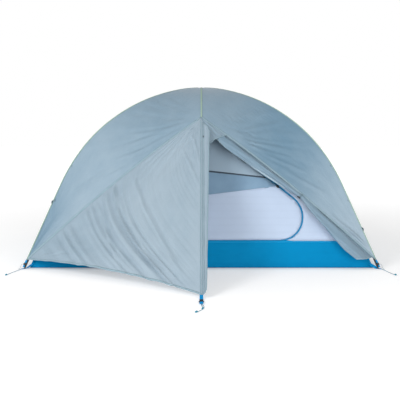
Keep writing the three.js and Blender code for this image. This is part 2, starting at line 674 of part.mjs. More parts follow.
function fixedWall(side) {
  if (side < 0) {
    return onWall([point(-DOOR_HINGE_X, WALL_BASE), point(0, DOOR_APEX), point(-1, WALL_HEAD),
      ...wallEdge(-1).reverse()]);
  }
  const arc = doorArc(DOOR_ARC_R + ZIP_GAP).filter((p) => p.y > WALL_BASE + 6);
  return onWall([point(1, WALL_HEAD), point(1, DOOR_APEX + 4), ...arc, point(DOOR_ARC_X + 80, WALL_BASE),
    ...wallEdge(1)]);
}

function innerSlider() {
  const fallZ = -Math.sin(ZIP_FALL);
  const fall = V(Math.cos(ZIP_FALL), (fallZ * WALL_RUN) / (WALL_TOP - TUB_HEIGHT), fallZ).normalize();
  const normal = V(0, TUB_HEIGHT - WALL_TOP, WALL_RUN).normalize();
  const centre = V(SLIDER_AT, -wallY(SLIDER_AT), SLIDER_AT)
    .addScaledVector(normal, FABRIC + INNER_SLIDER[2] / 2 + 0.75);
  return place(new THREE.BoxGeometry(...INNER_SLIDER), centre, fall, normal.clone().cross(fall));
}

function innerTent() {
  add('floor_tub', floorTub(), TUB_BLUE, 0.55);
  add('end_wall_left', endWall(-1), WALL_WHITE);
  add('end_wall_right', endWall(1), WALL_WHITE);
  add('roof_mesh', roofMesh(), MESH_GREY);
  const front = { left: fixedWall(-1), right: fixedWall(1) };
  add('front_wall_left', front.left, WALL_WHITE);
  add('front_wall_right', front.right, WALL_WHITE);
  add('rear_wall_right', halfTurn(front.left), WALL_WHITE);
  add('rear_wall_left', halfTurn(front.right), WALL_WHITE);
  add('front_inner_door', innerDoor(), WALL_WHITE);
  add('rear_inner_door', halfTurn(innerDoor()), WALL_WHITE);
  add('inner_slider_front', innerSlider(), HUB_BLACK, 0.4);
  add('inner_slider_rear', halfTurn(innerSlider()), HUB_BLACK, 0.4);
}

poles();
add('ridge_pole', tube(new RidgeCurve(), RIDGE_R, 24), POLE_LIME, 0.35, 0.6);
add('pole_hub', hub(), HUB_BLACK, 0.5);
innerTent();
fly();
corners();
cornerCords();
stakePoint('front', false);
stakePoint('rear', true);

export default group;
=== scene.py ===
"""Dome tent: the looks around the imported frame. Metres, +Z up, the front vestibule towards -Y."""

import math

import bmesh
import bpy
import numpy as np
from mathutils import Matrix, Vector, geometry, noise


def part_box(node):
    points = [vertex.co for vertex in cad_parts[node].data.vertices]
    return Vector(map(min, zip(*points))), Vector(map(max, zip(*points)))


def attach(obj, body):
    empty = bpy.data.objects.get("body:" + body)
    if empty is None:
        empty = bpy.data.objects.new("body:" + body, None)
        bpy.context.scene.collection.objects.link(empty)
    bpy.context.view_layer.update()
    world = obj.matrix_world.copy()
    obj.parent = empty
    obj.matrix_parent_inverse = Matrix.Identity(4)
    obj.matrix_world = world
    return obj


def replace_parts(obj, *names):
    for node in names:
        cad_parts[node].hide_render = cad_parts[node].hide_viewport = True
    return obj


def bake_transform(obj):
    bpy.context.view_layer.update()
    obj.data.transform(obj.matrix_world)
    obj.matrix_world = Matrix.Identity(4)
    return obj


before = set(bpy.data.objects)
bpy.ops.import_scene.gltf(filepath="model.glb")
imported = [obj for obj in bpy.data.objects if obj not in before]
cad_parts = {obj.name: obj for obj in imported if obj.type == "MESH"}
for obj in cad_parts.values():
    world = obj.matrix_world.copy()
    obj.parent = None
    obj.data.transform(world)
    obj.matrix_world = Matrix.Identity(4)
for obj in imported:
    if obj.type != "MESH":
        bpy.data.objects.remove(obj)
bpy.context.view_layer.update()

# ---- The tent's own lines, as the CAD has them ----
HALF_LENGTH, HALF_WIDTH = 1.120, 0.890
PLAN = math.hypot(HALF_LENGTH, HALF_WIDTH)
UX, UY = HALF_LENGTH / PLAN, HALF_WIDTH / PLAN
POLE_TOP, CROWN_RADIUS, SHOULDER_RADIUS = 1.193, 1.460, 1.150
CROWN_ANGLE, LEG_ANGLE = math.radians(34), math.radians(62)
SHOULDER_START = CROWN_RADIUS * CROWN_ANGLE
LEG_START = SHOULDER_START + SHOULDER_RADIUS * (LEG_ANGLE - CROWN_ANGLE)
SHOULDER_S = CROWN_RADIUS * math.sin(CROWN_ANGLE)
SHOULDER_Z = POLE_TOP - CROWN_RADIUS * (1 - math.cos(CROWN_ANGLE))
LEG_S = SHOULDER_S + SHOULDER_RADIUS * (math.sin(LEG_ANGLE) - math.sin(CROWN_ANGLE))
LEG_Z = SHOULDER_Z - SHOULDER_RADIUS * (math.cos(CROWN_ANGLE) - math.cos(LEG_ANGLE))
FOOT_S = LEG_S + LEG_Z / math.tan(LEG_ANGLE)    # from the hub's middle to a pole's foot, along the ground
LINE_LENGTH = LEG_START + LEG_Z / math.sin(LEG_ANGLE)
POLE_R, RIDGE_R, TIP_TOP = 0.00475, 0.00425, LINE_LENGTH - 0.0384
FLY_OUTSIDE, HUB_RISE, HUB_RISE_WIDTH, HEM_HEIGHT = 0.012, 0.010, 0.250, 0.055
APEX, STAKE = np.array([0, -0.560, 0.985]), np.array([0, -1.735, 0.018])
RIDGE_TOP = 1.215
FLOOR_X, FLOOR_Y, TUB_TOP_X, TUB_TOP_Y, TUB_HEIGHT = 1.108, 0.862, 1.052, 0.842, 0.170
INNER_HANG, WALL_TOP, WALL_FOOT_Y = 0.035, 0.950, 0.836
DOOR_APEX, DOOR_HINGE_X, DOOR_ARC_X, DOOR_ARC_Z, DOOR_ARC_R = 0.932, 0.600, 0.523, 0.325, 0.148
SLIDER_AT = 0.515
CORNERS = {"front_left": (-1, -1), "front_right": (1, -1), "rear_right": (1, 1), "rear_left": (-1, 1)}


FULL_TURN = 2 * math.pi
# Every front or left piece is made once and scaled to its other places.
AS_MADE, MIRROR = np.array([1, 1, 1.0]), np.array([-1, 1, 1.0])
HALF_TURN, FRONT_TO_REAR = np.array([-1, -1, 1.0]), np.array([1, -1, 1.0])


def unit(v):
    v = np.asarray(v, float)
    return v / np.maximum(np.linalg.norm(v, axis=-1, keepdims=True), 1e-12)


def clamp(x):
    return np.clip(x, 0, 1)


def bell(x, width):
    return np.exp(-(x / width) ** 2)


def run_of(line):
    """The length along a line to each of its points."""
    return np.concatenate([[0], np.cumsum(np.linalg.norm(np.diff(line, axis=0), axis=1))])


def square_grid(a, b):
    return np.meshgrid(a, b, indexing="ij")


def outward(sx, sy):
    """Along the ground, away from the hub and over a corner's pole, and the way across it."""
    return np.array([sx * UX, sy * UY, 0]), np.array([-sy * UY, sx * UX, 0])


def pole_line(length):
    """Plan distance from the hub, height and slope at a length along the pole line."""
    length = np.asarray(length, float)
    crown = length / CROWN_RADIUS
    bend = CROWN_ANGLE + (length - SHOULDER_START) / SHOULDER_RADIUS
    run = length - LEG_START
    on_crown, on_bend = length < SHOULDER_START, length < LEG_START
    s = np.where(on_crown, CROWN_RADIUS * np.sin(crown), np.where(
        on_bend, SHOULDER_S + SHOULDER_RADIUS * (np.sin(bend) - math.sin(CROWN_ANGLE)),
        LEG_S + run * math.cos(LEG_ANGLE)))
    z = np.where(on_crown, POLE_TOP - CROWN_RADIUS * (1 - np.cos(crown)), np.where(
        on_bend, SHOULDER_Z - SHOULDER_RADIUS * (math.cos(CROWN_ANGLE) - np.cos(bend)),
        LEG_Z - run * math.sin(LEG_ANGLE)))
    return s, z, np.where(on_crown, crown, np.where(on_bend, bend, LEG_ANGLE))


def on_pole(length, offset=0.0, sx=-1, sy=-1):
    """A point on the pole line, moved outward in its own plane by offset."""
    s, z, angle = pole_line(length)
    s, z = s + offset * np.sin(angle), z + offset * np.cos(angle)
    return np.stack([sx * s * UX, sy * s * UY, z], axis=-1)


def length_at(height, offset):
    low, high = 0.0, LINE_LENGTH
    for _ in range(50):
        middle = (low + high) / 2
        low, high = (middle, high) if on_pole(middle, offset)[2] > height else (low, middle)
    return low


FLY_END = length_at(HEM_HEIGHT, FLY_OUTSIDE)


def fly_pole(t, sx=-1, sy=-1):
    """The fly's ridge over a pole: t is 0 at the hub and 1 at the hem."""
    length = np.asarray(t, float) * FLY_END
    rise = HUB_RISE * bell(pole_line(length)[0], HUB_RISE_WIDTH)
    return on_pole(length, FLY_OUTSIDE + rise, sx, sy)


RIDGE_RADIUS = (APEX[1] ** 2 + (RIDGE_TOP - APEX[2]) ** 2) / (2 * (RIDGE_TOP - APEX[2]))
RIDGE_HALF_ANGLE = math.asin(-APEX[1] / RIDGE_RADIUS)
CORNER = fly_pole(1.0)
SEAM, SEAM_LENGTH = unit(CORNER - APEX), np.linalg.norm(CORNER - APEX)
ZIP, ZIP_LENGTH = unit(STAKE - APEX), np.linalg.norm(STAKE - APEX)
FLAP_NORMAL = unit(-np.cross(STAKE - APEX, SEAM))
ACROSS = unit(np.cross(ZIP, FLAP_NORMAL))
SEAM_BOW = 0.026 * unit(np.array([-0.652, 0.14, 0.745]))    # the seam curves up between its ends


def seam_point(t):
    t = np.asarray(t, float)[..., None]
    return APEX + t * (CORNER - APEX) + 4 * t * (1 - t) * (1.15 - 0.3 * t) * SEAM_BOW


def ridge_point(v, drop=0.0):
    angle = np.asarray(v, float) * RIDGE_HALF_ANGLE
    radius = RIDGE_RADIUS - drop
    return np.stack([0 * angle, -radius * np.sin(angle),
                     RIDGE_TOP - RIDGE_RADIUS + radius * np.cos(angle)], axis=-1)


# ---- Camera and stage ----
LENS, SENSOR, SHIFT_X = 65.8, 36, -0.0035
CAMERA_AT, CAMERA_DOWN = (0, -5.600, 0.904), math.radians(5.541)
scene = bpy.context.scene
scene.view_settings.view_transform = "Standard"
camera_data = bpy.data.cameras.new("camera")
camera_data.lens, camera_data.sensor_width, camera_data.shift_x = LENS, SENSOR, SHIFT_X
camera = bpy.data.objects.new("camera", camera_data)
camera.location = CAMERA_AT
camera.rotation_euler = (math.radians(90) - CAMERA_DOWN, 0, 0)
scene.collection.objects.link(camera)
scene.camera = camera


# ---- Node materials ----
TURN = 6.2832    # a full turn, as the sine nodes take it


class Cloth:
    """A procedural material under construction: short calls for the nodes it needs."""

    def __init__(self, name):
        self.material = bpy.data.materials.new(name)
        self.material.use_nodes = True
        self.tree = self.material.node_tree
        self.shader = self.tree.nodes["Principled BSDF"]

    def node(self, kind, inputs=(), **settings):
        node = self.tree.nodes.new(kind)
        for key, value in settings.items():
            setattr(node, key, value)
        for key, value in dict(inputs).items():
            self.feed(node.inputs[key], value)
        return node

    def feed(self, socket, value):
        if isinstance(value, bpy.types.NodeSocket):
            self.tree.links.new(value, socket)
        else:
            socket.default_value = value

    def math(self, operation, *values):
        return self.node("ShaderNodeMath", enumerate(values), operation=operation).outputs[0]

    def times(self, a, b):
        return self.math("MULTIPLY", a, b)

    def plus(self, a, b):
        return self.math("ADD", a, b)

    def sine(self, value):
        return self.math("SINE", value)

    def noise(self, where, scale, detail=2.0, rough=0.5):
        inputs = {"Vector": where, "Scale": scale, "Detail": detail, "Roughness": rough}
        return self.node("ShaderNodeTexNoise", inputs).outputs["Fac"]

    def uv(self):
        """The piece's own surface coordinates, in metres."""
        return self.node("ShaderNodeUVMap", uv_map="surface").outputs[0]

    def split(self, vector):
        return self.node("ShaderNodeSeparateXYZ", {0: vector}).outputs

    def stretch(self, vector, x, y, z=1.0):
        inputs = {0: vector, 1: (x, y, z)}
        return self.node("ShaderNodeVectorMath", inputs, operation="MULTIPLY").outputs[0]

    def ramp(self, value, low, high, start=0.0, end=1.0):
        inputs = {0: value, 1: low, 2: high, 3: start, 4: end}
        return self.node("ShaderNodeMapRange", inputs).outputs[0]

    def lines(self, value, spacing, width):
        """1 on lines that repeat at a spacing, 0 between them."""
        away = self.math("PINGPONG", value, spacing / 2)
        return self.ramp(away, width / 2, width, 1.0, 0.0)

    def mix(self, share, a, b):
        colours = {"Fac": share, "Color1": a, "Color2": b}
        return self.node("ShaderNodeMixRGB", colours).outputs[0]

    def finish(self, colour, height, bump, rough, rough_spread=0.1, grain=None, **constants):
        self.feed(self.shader.inputs["Base Color"], colour)
        if grain is not None:
            spread = self.ramp(grain, 0.2, 0.8, rough - rough_spread, rough + rough_spread)
            self.feed(self.shader.inputs["Roughness"], spread)
        else:
            self.shader.inputs["Roughness"].default_value = rough
        relief = self.node("ShaderNodeBump", {"Height": height, "Distance": bump, "Strength": 1.0})
        self.feed(self.shader.inputs["Normal"], relief.outputs[0])
        for key, value in constants.items():
            self.shader.inputs[key.replace("_", " ")].default_value = value
        return self.material


def rgb(r, g, b):
    """An sRGB colour from 0 to 255, as the linear colour that a shader takes."""
    linear = [c / 255 / 12.92 if c / 255 <= 0.04045 else ((c / 255 + 0.055) / 1.055) ** 2.4 for c in (r, g, b)]
    return (*linear, 1.0)


def woven(name, light, dark, rip=0.006, thread=0.0012, rough=0.6, crinkle=0.35, stripes=0.0, **constants):
    """Thin cloth: a ripstop grid, its threads, soft crinkles and an uneven colour. The tone attribute darkens
    it: painted shade.
    """
    c = Cloth(name)
    where = c.uv()
    u, v = c.split(where)[0], c.split(where)[1]
    grid = c.math("MAXIMUM", c.lines(u, rip, rip * 0.1), c.lines(v, rip, rip * 0.1))
    threads = c.times(c.sine(c.times(u, TURN / thread)),
                     c.sine(c.times(v, TURN / thread)))
    soft = c.noise(where, 9.0, 3.0, 0.55)
    fine = c.noise(where, 60.0, 2.0)
    pulled = c.noise(c.stretch(where, 3.0, 26.0), 1.0, 2.0)
    height = c.plus(c.times(grid, 0.10), c.times(threads, 0.03))
    height = c.plus(height, c.times(soft, crinkle * 1.6))
    height = c.plus(height, c.times(pulled, crinkle * 1.2))
    height = c.plus(height, c.times(fine, crinkle * 0.35))
    shade = c.plus(c.ramp(soft, 0.3, 0.75, 0.0, 0.10), c.times(grid, 0.10))
    if stripes:
        shade = c.plus(shade, c.times(c.lines(v, 0.045, 0.008), stripes))
    # The tone attribute at each point is painted shade: it mixes the cloth towards its dark colour.
    tone = c.node("ShaderNodeAttribute", attribute_name="tone").outputs["Fac"]
    shade = c.math("MINIMUM", c.plus(shade, tone), 1.0)
    return c.finish(c.mix(shade, light, dark), height, 0.0016, rough, 0.07, fine, **constants)


def netting(name, colour, dark, see):
    """Fine insect mesh: a net of holes that lets some of what is behind show."""
    c = Cloth(name)
    where = c.uv()
    u, v = c.split(where)[0], c.split(where)[1]
    net = c.math("MAXIMUM", c.lines(u, 0.0016, 0.0005), c.lines(v, 0.0016, 0.0005))
    soft = c.noise(where, 7.0, 3.0)
    height = c.plus(c.times(net, 0.25), c.times(soft, 2.0))
    shade = c.ramp(soft, 0.3, 0.75, 0.0, 0.5)
    material = c.finish(c.mix(shade, colour, dark), height, 0.001, 0.75, 0.05, soft)
    c.shader.inputs["Alpha"].default_value = see
    return material


def tape(name, light, dark, rib=0.0016, edge=0.0, stitch=None, rough=0.7, **constants):
    """Woven tape or a bound seam: ribs across it, edges darkened by painted shade, and rows of stitches along
    both edges.
    """
    c = Cloth(name)
    where = c.uv()
    u, v = c.split(where)[0], c.split(where)[1]
    ribs = c.sine(c.times(u, TURN / rib))
    weave = c.times(ribs, c.sine(c.times(v, 40.0)))
    soft = c.noise(where, 30.0, 2.0)
    away = c.math("ABSOLUTE", v)
    # Painted shade: the outer fifth of the tape's width darkens by edge, where the tape turns down to the
    # cloth.
    shade = c.plus(c.ramp(soft, 0.3, 0.7, 0.0, 0.35), c.ramp(away, 0.40, 0.5, 0.0, edge))
    height = c.plus(c.times(weave, 0.2), c.times(soft, 0.5))
    colour = c.mix(c.math("MINIMUM", shade, 1.0), light, dark)
    if stitch:
        row = c.ramp(c.math("ABSOLUTE", c.math("SUBTRACT", away, 0.30)), 0.03, 0.06, 1.0, 0.0)
        dash = c.ramp(c.math("PINGPONG", u, 0.002), 0.0005, 0.0008, 0.0, 1.0)
        sewn = c.times(row, dash)
        colour = c.mix(sewn, colour, stitch)
        height = c.plus(height, c.times(sewn, 0.5))
    return c.finish(colour, height, 0.0006, rough, 0.08, soft, **constants)


def moulded(name, colour, worn, rough=0.42, grain=160.0, **constants):
    """Moulded plastic or metal: fine grain, and a paler wear colour in patches."""
    c = Cloth(name)
    where = c.node("ShaderNodeTexCoord").outputs["Object"]
    fine, broad = c.noise(where, grain, 3.0), c.noise(where, 22.0, 3.0)
    shade = c.ramp(broad, 0.52, 0.75, 0.0, 0.55)
    return c.finish(c.mix(shade, colour, worn), fine, 0.0003, rough, 0.1, broad, **constants)


def coil_zip(name, colour, dark):
    """A coil zip: teeth across a round ridge, with painted shade between the teeth."""
    c = Cloth(name)
    u = c.split(c.uv())[0]
    teeth = c.sine(c.times(u, TURN / 0.003))
    # Painted shade: the colour turns dark in the troughs between the teeth.
    shade = c.ramp(teeth, -0.6, 0.6, 0.7, 0.0)
    return c.finish(c.mix(shade, colour, dark), teeth, 0.0006, 0.45)


def braided(name, light, dark, fleck):
    """Braided cord: two sets of strands that cross, with painted shade between the strands and a fleck in one
    of them.
    """
    c = Cloth(name)
    u, v = c.split(c.uv())[0], c.split(c.uv())[1]
    around = c.times(v, TURN * 2)
    one = c.sine(c.plus(c.times(u, 1500.0), around))
    two = c.sine(c.math("SUBTRACT", c.times(u, 1500.0), around))
    height = c.math("MAXIMUM", one, two)
    # Painted shade: dark in the hollows between the strands, light on their crowns.
    colour = c.mix(c.ramp(height, 0.0, 0.9, 0.0, 1.0), dark, light)
    flecks = c.ramp(c.times(one, two), 0.55, 0.8, 0.0, 0.8)
    return c.finish(c.mix(flecks, colour, fleck), height, 0.0003, 0.8, Sheen_Weight=0.3)


FLY = woven("fly_ripstop", rgb(156, 173, 185), rgb(86, 121, 143), rip=0.005, rough=0.46, crinkle=0.5,
            Sheen_Weight=0.15, Sheen_Roughness=0.4, Specular_IOR_Level=0.4)
# The edge value sets how much painted shade darkens a tape's edges.
FLY_TRIM = tape("fly_binding", rgb(140, 166, 178), rgb(90, 114, 126), edge=0.6, stitch=rgb(172, 194, 202))
# A tape coloured paler than the other bindings: a painted highlight along the rolled door's edge.
ROLL_HIGHLIGHT_TAPE = tape("roll_edge_highlight", rgb(178, 198, 207), rgb(146, 170, 182), edge=0.3, stitch=rgb(192, 208, 216))
RIDGE_TAPE = tape("fly_pole_seam", rgb(150, 176, 160), rgb(112, 140, 128), edge=0.3, stitch=rgb(170, 192, 176))
TUB = woven("tub_taffeta", rgb(0, 131, 183), rgb(0, 84, 138), rip=0.004, rough=0.65, crinkle=0.6,
            Specular_IOR_Level=0.05)
WHITE = woven("wall_ripstop", rgb(186, 201, 222), rgb(150, 166, 188), rip=0.005, rough=0.7, crinkle=0.3,
              stripes=0.05, Specular_IOR_Level=0.2)
PANEL = woven("upper_panel", rgb(158, 179, 195), rgb(118, 138, 152), rip=0.005, rough=0.65, crinkle=0.4)
NET = netting("insect_mesh", rgb(140, 172, 198), rgb(108, 138, 164), 0.86)
DARK_TAPE = tape("dark_binding", rgb(62, 76, 88), rgb(38, 48, 58), stitch=rgb(96, 112, 124))
BLUE_TAPE = tape("blue_binding", rgb(0, 146, 202), rgb(0, 104, 158), stitch=rgb(40, 160, 210),
                 Specular_IOR_Level=0.15)
# The webbing's edge value is painted shade along its edges.
WEBBING = tape("blue_webbing", rgb(0, 148, 212), rgb(0, 96, 156), rib=0.0022, edge=0.6, rough=0.75,
               Specular_IOR_Level=0.15)
# The second colour of each coil zip is its painted shade between the teeth.
BLUE_COIL = coil_zip("blue_coil", rgb(0, 156, 214), rgb(0, 124, 182))
GREY_COIL = coil_zip("grey_coil", rgb(96, 116, 128), rgb(52, 66, 76))
POLE = moulded("lime_anodising", rgb(176, 190, 62), rgb(150, 160, 70), rough=0.3, grain=60.0, Metallic=0.75)
FERRULE = moulded("bare_ferrule", rgb(150, 156, 150), rgb(110, 116, 112), rough=0.28, Metallic=0.9)
BLACK = moulded("black_nylon", rgb(30, 33, 37), rgb(58, 62, 68), rough=0.4)
STEEL = moulded("grommet_metal", rgb(150, 154, 160), rgb(96, 100, 106), rough=0.3, Metallic=0.9)
ELASTIC = tape("grey_elastic", rgb(104, 128, 140), rgb(66, 84, 94), rib=0.0012)
LOOP_TAPE = tape("dark_loop", rgb(70, 94, 112), rgb(44, 60, 74), rib=0.0012)
# The second colour of each cord is its painted shade between the strands.
CORD = braided("teal_cord", rgb(0, 112, 140), rgb(0, 74, 100), rgb(70, 160, 178))
GREY_CORD = braided("grey_cord", rgb(168, 182, 190), rgb(116, 132, 142), rgb(206, 214, 218))
BEAD = moulded("teal_cord_end", rgb(16, 122, 146), rgb(44, 150, 170), rough=0.4)


# ---- Mesh building ----
class Piece:
    """Gathers grids, strips and tubes with their own materials and surface coordinates into one mesh."""

    def __init__(self, name):
        self.name, self.points, self.faces = name, [], []
        self.uvs, self.slots, self.tones, self.materials = [], [], [], []

    def slot(self, material):
        if material not in self.materials:
            self.materials.append(material)
        return self.materials.index(material)

    def add(self, points, faces, uv, material, tone=0.0):
        """Points, faces as index lists, a surface coordinate for each point, and one material or one a face."""
        points, base = np.asarray(points, float), len(self.points)
        uv = np.asarray(uv, float)
        self.points.extend(points.tolist())
        self.tones.extend(np.broadcast_to(tone, len(points)).tolist())
        many = isinstance(material, list)
        for i, face in enumerate(faces):
            self.faces.append([base + k for k in face])
            self.uvs.extend(uv[list(face)].tolist())
            self.slots.append(self.slot(material[i] if many else material))

    def grid(self, p, material, tone=0.0, around=False, uv=None):
        """A grid of points, rows by columns. Around closes each row on itself."""
        rows, cols = p.shape[:2]
        if uv is None:
            down = np.linalg.norm(np.diff(p, axis=0), axis=2).mean(1)
            across = np.linalg.norm(np.diff(p, axis=1), axis=2).max(0)
            u = np.concatenate([[0], np.cumsum(down)])
            v = np.concatenate([[0], np.cumsum(across)])
            uv = np.stack(square_grid(u, v), axis=-1)
        index = np.arange(rows * cols).reshape(rows, cols)
        a, b = index[:-1, :-1].ravel(), index[1:, :-1].ravel()
        c, d = index[1:, 1:].ravel(), index[:-1, 1:].ravel()
        faces = np.stack([a, b, c, d], axis=1).tolist()
        if around:
            last, first = index[:, -1], index[:, 0]
            faces += np.stack([last[:-1], last[1:], first[1:], first[:-1]], axis=1).tolist()
        tone = np.broadcast_to(tone, (rows, cols)).ravel()
        self.add(p.reshape(-1, 3), faces, uv.reshape(-1, 2), material, tone)

    def band(self, middle, side, half, lift, material):
        """A flat tape along a line."""
        self.strip(middle, side, -np.asarray(side), half, lift, material)

    def strip(self, middle, side_a, side_b, half, lift, material):
        """A tape along a line, half its width to either side, lifted off the surface on both."""
        middle, tangent = np.asarray(middle, float), unit(np.gradient(middle, axis=0))
        side_a, side_b = (np.broadcast_to(unit(s), middle.shape) for s in (side_a, side_b))
        normal_a = unit(np.cross(tangent, side_a))
        normal_b = unit(np.cross(side_b, tangent))
        middle_normal = unit(normal_a + normal_b)
        facing = np.sign((middle_normal * (middle - [0, 0, 0.35])).sum(1))[:, None]
        facing[facing == 0] = 1
        lift_a, lift_b, lift_middle = (n * facing * lift for n in (normal_a, normal_b, middle_normal))
        half = np.broadcast_to(np.asarray(half, float), len(middle))[:, None]
        rows = [middle + side_a * half + lift_a, middle + side_a * half * 0.4 + lift_a * 1.5,
                middle + lift_middle * 1.7,
                middle + side_b * half * 0.4 + lift_b * 1.5, middle + side_b * half + lift_b]
        run = run_of(middle)
        uv = np.stack(square_grid(run, (0.5, 0.2, 0, -0.2, -0.5)), axis=-1)
        self.grid(np.stack(rows, axis=1), material, uv=uv)

    def tube(self, path, radius, material, sides=12, squash=1.0, up=(0, 0, 1), caps=True):
        """A tube along a path. Radius may change along it, and squash flattens it along up."""
        path = np.asarray(path, float)
        tangent = unit(np.gradient(path, axis=0))
        side = np.cross(np.broadcast_to(np.asarray(up, float), path.shape), tangent)
        weak = np.linalg.norm(side, axis=1) < 0.05
        side[weak] = np.cross((1.0, 0.31, 0), tangent[weak])
        side = unit(side)
        for i in range(1, len(side)):
            if side[i] @ side[i - 1] < 0:
                side[i] = -side[i]
        top = np.cross(tangent, side)
        angle = np.linspace(0, FULL_TURN, sides, endpoint=False)
        radius = np.broadcast_to(np.asarray(radius, float), len(path))[:, None, None]
        ring = np.cos(angle)[:, None] * side[:, None] + squash * np.sin(angle)[:, None] * top[:, None]
        rings = path[:, None] + radius * ring
        run = run_of(path)
        uv = np.stack(square_grid(run, angle / FULL_TURN), axis=-1)
        self.grid(rings, material, around=True, uv=uv)
        if caps:
            for ring_points, centre, at, turn in ((rings[0], path[0], 0, 1), (rings[-1], path[-1], -1, -1)):
                faces = [[i, (i + 1) % sides, sides][::turn] for i in range(sides)]
                self.add([*ring_points, centre], faces, [(run[at], 0)] * (sides + 1), material)

    def turn(self, scale):
        self.points = (np.array(self.points) * scale).tolist()

    def build(self, body=None, thick=0.0, merge=0.0, slot=None, sharp=50.0):
        mesh = bpy.data.meshes.new(self.name)
        mesh.from_pydata(self.points, [], self.faces)
        layer = mesh.uv_layers.new(name="surface")
        layer.data.foreach_set("uv", np.array(self.uvs, np.float32).ravel())
        # tone holds painted shade at each point, for the cloth materials to darken by.
        tone = mesh.attributes.new("tone", "FLOAT", "POINT")
        tone.data.foreach_set("value", np.array(self.tones, np.float32))
        for material in self.materials:
            mesh.materials.append(material)
        mesh.polygons.foreach_set("material_index", self.slots)
        if merge:
            weld(mesh, merge)
        mesh.update()
        mesh.validate()
        mesh.shade_smooth()
        mesh.set_sharp_from_angle(angle=math.radians(sharp))
        made = bpy.data.objects.new(self.name, mesh)
        scene.collection.objects.link(made)
        if thick:
            skin = made.modifiers.new("skin", "SOLIDIFY")
            skin.thickness, skin.offset = thick, 0.0
        if body:
            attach(made, body)
        return made


def weld(mesh, distance):
    """Joins points that lie together, and drops the faces that this leaves with no area."""
    work = bmesh.new()
    work.from_mesh(mesh)
    bmesh.ops.remove_doubles(work, verts=work.verts, dist=distance)
    bmesh.ops.dissolve_degenerate(work, edges=work.edges, dist=distance)
    bmesh.ops.recalc_face_normals(work, faces=work.faces)
    work.to_mesh(mesh)
    work.free()


def normals(p):
    """The normal at each point of a grid."""
    return unit(np.cross(np.gradient(p, axis=0), np.gradient(p, axis=1)))


def ripples(p, size, seed):
    """Smooth noise from -1 to 1 at each point, its features about size metres."""
    flat = p.reshape(-1, 3) / size
    found = [noise.noise(Vector(q) + Vector((seed, 2.3 * seed, 5.1))) for q in flat]
    return np.array(found).reshape(p.shape[:-1])


def fold(p, line, height, width):
    """A fold along a line of points: a ridge with a shallow valley to each side, fading at its ends."""
    line = np.asarray(line, float)
    flat, best = p.reshape(-1, 3), np.full(p.shape[0] * p.shape[1], 1e9)
    share, done = np.zeros(len(best)), 0.0
    lengths = np.linalg.norm(np.diff(line, axis=0), axis=1)
    for a, b, run in zip(line[:-1], line[1:], lengths):
        k = clamp((flat - a) @ (b - a) / run ** 2)
        away = np.linalg.norm(flat - a - k[:, None] * (b - a), axis=1)
        share = np.where(away < best, (done + k * run) / lengths.sum(), share)
        best = np.minimum(best, away)
        done += run
    x = (best / width) ** 2
    fade = clamp(np.sin(math.pi * np.clip(share, 0.02, 0.98)) * 1.6)
    return (height * (1 - 1.3 * x) * np.exp(-x) * fade).reshape(p.shape[:2])


def rays(p, centre, normal, size, seed):
    """Creases that run out from a pulled point: noise that changes with direction and hardly with distance."""
    side = unit(np.cross(normal, (0.3, 0.2, 1.0)))
    up = np.cross(normal, side)
    away = p - centre
    distance = np.linalg.norm(away, axis=-1)
    angle = np.arctan2(away @ up, away @ side)
    where = np.stack([angle / size, distance * 1.6, 0 * angle], axis=-1)
    sharp = ripples(where, 1.0, seed) + 0.5 * ripples(where * 2.1, 1.0, seed + 9)
    return sharp * clamp(distance / 0.12)


# ---- Fly ----
ROWS, COLS, END_COLS = 104, 60, 48
# The fly cloth's thickness, and how far tapes of each kind stand off the cloth they are sewn to.
FABRIC, TAPE_LIFT, THIN_LIFT, ZIP_TAPE_LIFT, COIL_TAPE_LIFT = 0.0009, 0.0012, 0.0008, 0.0006, 0.0004
T = np.linspace(0, 1, ROWS + 1)


def roof_at(t, v):
    """The front left roof panel: t runs down from hub and ridge to the corner, v from the pole to the seam."""
    k = v[..., None]
    flat = (1 - k) * fly_pole(0.0) + k * APEX
    bow = (ridge_point(v) - flat) * ((1 - t) ** 1.5)[..., None]
    return (1 - k) * fly_pole(t) + k * seam_point(t) + bow


def roof_patch(v):
    """The same panel as a grid of points, level along the ridge."""
    p = roof_at(*square_grid(T, np.atleast_1d(v)))
    p[0, :, 0] = 0.0
    return p


# Folds that run out of the vestibule's peak and down the roof: lines of (t, v) along and across a panel,
# with their height and width.
ROOF_FOLDS = {
    1: [([(0.03, 0.97), (0.20, 0.83), (0.40, 0.62)], 0.0050, 0.016),
        ([(0.13, 0.90), (0.37, 0.51)], 0.0040, 0.016),
        ([(0.50, 0.75), (0.72, 0.45)], 0.0030, 0.020), ([(0.22, 0.96), (0.46, 0.70)], 0.0035, 0.012),
        ([(0.06, 0.985), (0.24, 0.90), (0.42, 0.80)], 0.0040, 0.011),
        ([(0.34, 0.97), (0.55, 0.80)], 0.0030, 0.012)],
    -1: [([(0.17, 0.99), (0.44, 0.55)], 0.0060, 0.014), ([(0.23, 0.95), (0.49, 0.60)], 0.0055, 0.014),
         ([(0.31, 0.92), (0.56, 0.62)], 0.0050, 0.015), ([(0.45, 0.90), (0.68, 0.60)], 0.0035, 0.016),
         ([(0.72, 0.93), (0.93, 0.45)], 0.0060, 0.014), ([(0.80, 0.80), (0.96, 0.30)], 0.0045, 0.012)],
}


# Where the roof is pulled into creases: the point, a row to take its normal at, the creases' height,
# size, seed and reach, and how far down they start.
PEAK_ROW, CORNER_ROW, FROM_TOP = ROWS // 3, -8, -1
ROOF_PULLS = {
    side: [(APEX, PEAK_ROW, rise, 0.075, 2, 0.55, FROM_TOP),
           (CORNER, CORNER_ROW, 0.0050, 0.10, 4, 0.45, FROM_TOP)]
    for side, rise in ((1, 0.0090), (-1, 0.0045))}
ROOF_PULLS[-1].append((seam_point(0.13), PEAK_ROW, 0.0120, 0.06, 6, 0.42, 0.08))
ROOF_FOLD_GAIN = 1.5


